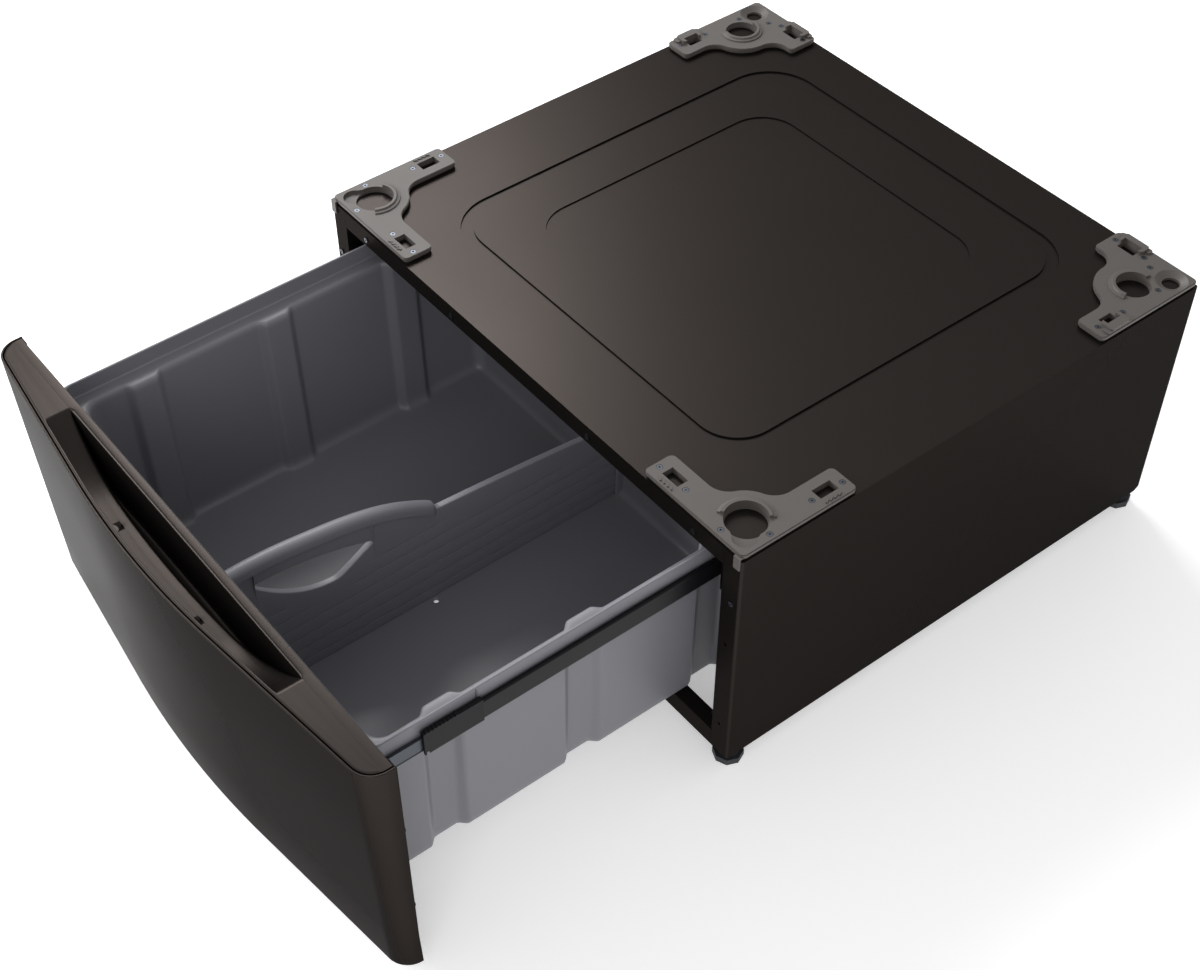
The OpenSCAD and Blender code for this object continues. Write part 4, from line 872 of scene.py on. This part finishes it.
class PedestalStudio(bpy.types.PropertyGroup):
    """Camera and light of the studio."""

    focal_length: FloatProperty(
        name="Focal length",
        description="Lens of the camera",
        default=57.19,
        min=10,
        unit="CAMERA",
    )
    key_power: FloatProperty(
        name="Front light",
        description="Power of the soft light at the right front",
        default=28.0,
        min=0,
        unit="POWER",
    )
    side_power: FloatProperty(
        name="Left light",
        description="Power of the wide panel at the left front",
        default=118.0,
        min=0,
        unit="POWER",
    )
    high_power: FloatProperty(
        name="High light",
        description="Power of the light whose sheen the top shows",
        default=76.0,
        min=0,
        unit="POWER",
    )
    surround: FloatProperty(
        name="Surround", description="Strength of the even light all round", default=0.56, min=0
    )
    floor_glow: FloatProperty(
        name="Floor glow",
        description="Light that the lit floor gives off by itself",
        default=0.4,
        min=0,
    )


# ---- pieces ------------------------------------------------------------------------------


class PEDESTAL_OT_finish_nodes(bpy.types.Operator):
    """Give every CAD piece the finish of its material slot"""

    bl_idname = "pedestal.finish_nodes"
    bl_label = "Finish the CAD pieces"

    def execute(self, context):
        for name, piece in NODES.items():
            dress(piece, slot_of(name))
        return {"FINISHED"}


class PEDESTAL_OT_tub(bpy.types.Operator):
    """Make the moulded drawer tub with its ledge, pilasters and guide ribs"""

    bl_idname = "pedestal.tub"
    bl_label = "Make the tub"

    def execute(self, context):
        points = tub_surface()
        shells = [(points, grid_faces(*points.shape[:2]))]
        shells += [(rib, tube_faces(*rib.shape[:2])) for rib in guide_ribs()]
        make_piece("moulded_tub", shells, "drawer", "tub_plastic", "drawer_tub")
        return {"FINISHED"}


class PEDESTAL_OT_front(bpy.types.Operator):
    """Make the bowed skin of the drawer front with its hem, and the plates behind it"""

    bl_idname = "pedestal.front"
    bl_label = "Make the drawer front"

    def execute(self, context):
        skin = front_skin()
        shells = [(skin, tube_faces(*skin.shape[:2]))]
        shells += [(plate, tube_faces(*plate.shape[:2])) for plate in front_floor()]
        make_piece("bowed_front", shells, "drawer", "painted_steel", "drawer_front")
        return {"FINISHED"}


class PEDESTAL_OT_cap(bpy.types.Operator):
    """Make the front's cap with its hand scoop and finger slot"""

    bl_idname = "pedestal.cap"
    bl_label = "Make the cap"

    def execute(self, context):
        points = front_cap()
        shells = [(points, tube_faces(*points.shape[:2]))]
        make_piece("scooped_cap", shells, "drawer", "painted_steel", "drawer_front_cap")
        return {"FINISHED"}


class PEDESTAL_OT_divider(bpy.types.Operator):
    """Make the tub's divider with its grip and hand hole"""

    bl_idname = "pedestal.divider"
    bl_label = "Make the divider"

    def execute(self, context):
        make_piece("tub_divider", divider_shells(), "divider", "tub_plastic", "divider")
        return {"FINISHED"}


# ---- studio ------------------------------------------------------------------------------


def soft_light(name, power, extent, place, target):
    """A soft rectangular light that faces a target."""
    data = bpy.data.lights.new(name, "AREA")
    data.energy = power
    data.shape = "RECTANGLE"
    data.size, data.size_y = extent
    lamp = bpy.data.objects.new(name, data)
    bpy.context.scene.collection.objects.link(lamp)
    lamp.location = place
    lamp.rotation_mode = "QUATERNION"
    lamp.rotation_quaternion = (Vector(target) - Vector(place)).to_track_quat("-Z", "Y")


# each soft light: its power's name in the settings, its size, place and target in metres
LIGHTS = {
    "front": ("key_power", (1.8, 1.8), (2.4, -2.4, 2.2), (0, -0.1, 0.2)),
    "left": ("side_power", (2.6, 1.6), (-2.6, -2.2, 1.6), (0, 0, 0.3)),
    "high": ("high_power", (1.5, 1.5), (-2.9, 1.1, 2.9), (0, 0, 0.3)),
}
FLOOR_HALF = 12  # half width of the floor, in metres

# the camera's place in metres, its right, up and back directions, and its lens shift
CAMERA_PLACE = (1.171715, -0.908933, 1.608359)
CAMERA_AXES = (
    (0.600078, 0.799530, -0.025671),
    (-0.578387, 0.455823, 0.676530),
    (0.552607, -0.391123, 0.735967),
)
CAMERA_SHIFT = (0.0553, 0.0475)


def pale_floor(colour, glow):
    """The studio's floor, painted white. It is lit a little from within, so that it comes out
    nearly white and keeps only a soft shadow."""
    mesh = bpy.data.meshes.new("studio_floor")
    corners = FLOOR_HALF * np.array([[-1, -1, 0], [1, -1, 0], [1, 1, 0], [-1, 1, 0]], float)
    mesh.from_pydata(corners.tolist(), [], [(0, 1, 2, 3)])
    floor = bpy.data.objects.new("studio_floor", mesh)
    bpy.context.scene.collection.objects.link(floor)
    material, tree, output = new_material("pale_floor_paint")
    shader = add(
        tree,
        "ShaderNodeBsdfPrincipled",
        Base_Color=linear(colour),
        Roughness=0.9,
        Emission_Color=linear(colour),
        Emission_Strength=glow,
    )
    tree.links.new(shader.outputs["BSDF"], output.inputs["Surface"])
    mesh.materials.append(material)
    return floor


def even_surround(strength):
    """A white world that lights the pedestal evenly from all round."""
    world = bpy.data.worlds.new("even_surround")
    world.use_nodes = True
    background = world.node_tree.nodes["Background"]
    background.inputs["Color"].default_value = (1, 1, 1, 1)
    background.inputs["Strength"].default_value = strength
    return world


def photo_camera(focal_length):
    """A camera that stands and looks as the photograph's did, everything in focus."""
    data = bpy.data.cameras.new("camera")
    data.sensor_width = 36.0
    data.lens = focal_length
    data.shift_x, data.shift_y = CAMERA_SHIFT
    data.clip_end = 60
    camera = bpy.data.objects.new("camera", data)
    bpy.context.scene.collection.objects.link(camera)
    turn = Matrix(CAMERA_AXES).transposed()
    camera.matrix_world = Matrix.Translation(CAMERA_PLACE) @ turn.to_4x4()
    return camera


class PEDESTAL_OT_stage(bpy.types.Operator):
    """Make the floor, the lights and the camera"""

    bl_idname = "pedestal.stage"
    bl_label = "Set the studio"

    def execute(self, context):
        scene = context.scene
        studio = scene.pedestal_studio
        pale_floor(scene.pedestal_colours.floor, studio.floor_glow)
        scene.world = even_surround(studio.surround)
        for name, (power, extent, place, target) in LIGHTS.items():
            soft_light(name, getattr(studio, power), extent, place, target)
        scene.view_settings.view_transform = "Standard"
        scene.camera = photo_camera(studio.focal_length)
        return {"FINISHED"}


# ---- panel, registration and run ---------------------------------------------------------

SETTINGS = {
    "pedestal_sizes": PedestalSizes,
    "pedestal_colours": PedestalColours,
    "pedestal_studio": PedestalStudio,
}
OPERATORS = (
    PEDESTAL_OT_finish_nodes,
    PEDESTAL_OT_tub,
    PEDESTAL_OT_front,
    PEDESTAL_OT_cap,
    PEDESTAL_OT_divider,
    PEDESTAL_OT_stage,
)


class PEDESTAL_PT_panel(bpy.types.Panel):
    """Lists the settings and the steps that build the pedestal's looks"""

    bl_label = "Pedestal"
    bl_idname = "PEDESTAL_PT_panel"
    bl_space_type = "VIEW_3D"
    bl_region_type = "UI"
    bl_category = "Pedestal"

    def draw(self, context):
        for name in SETTINGS:
            group = getattr(context.scene, name)
            for key in group.__annotations__:
                self.layout.prop(group, key)
        for operator in OPERATORS:
            self.layout.operator(operator.bl_idname)


CLASSES = tuple(SETTINGS.values()) + OPERATORS + (PEDESTAL_PT_panel,)


def register():
    for cls in CLASSES:
        bpy.utils.register_class(cls)
    for name, group in SETTINGS.items():
        setattr(bpy.types.Scene, name, PointerProperty(type=group))


def unregister():
    for name in SETTINGS:
        delattr(bpy.types.Scene, name)
    for cls in reversed(CLASSES):
        bpy.utils.unregister_class(cls)


def main():
    """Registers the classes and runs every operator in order."""
    register()
    for operator in OPERATORS:
        group, name = operator.bl_idname.split(".")
        if getattr(getattr(bpy.ops, group), name)() != {"FINISHED"}:
            raise RuntimeError(operator.bl_idname + " did not finish")


if __name__ == "__main__":
    main()
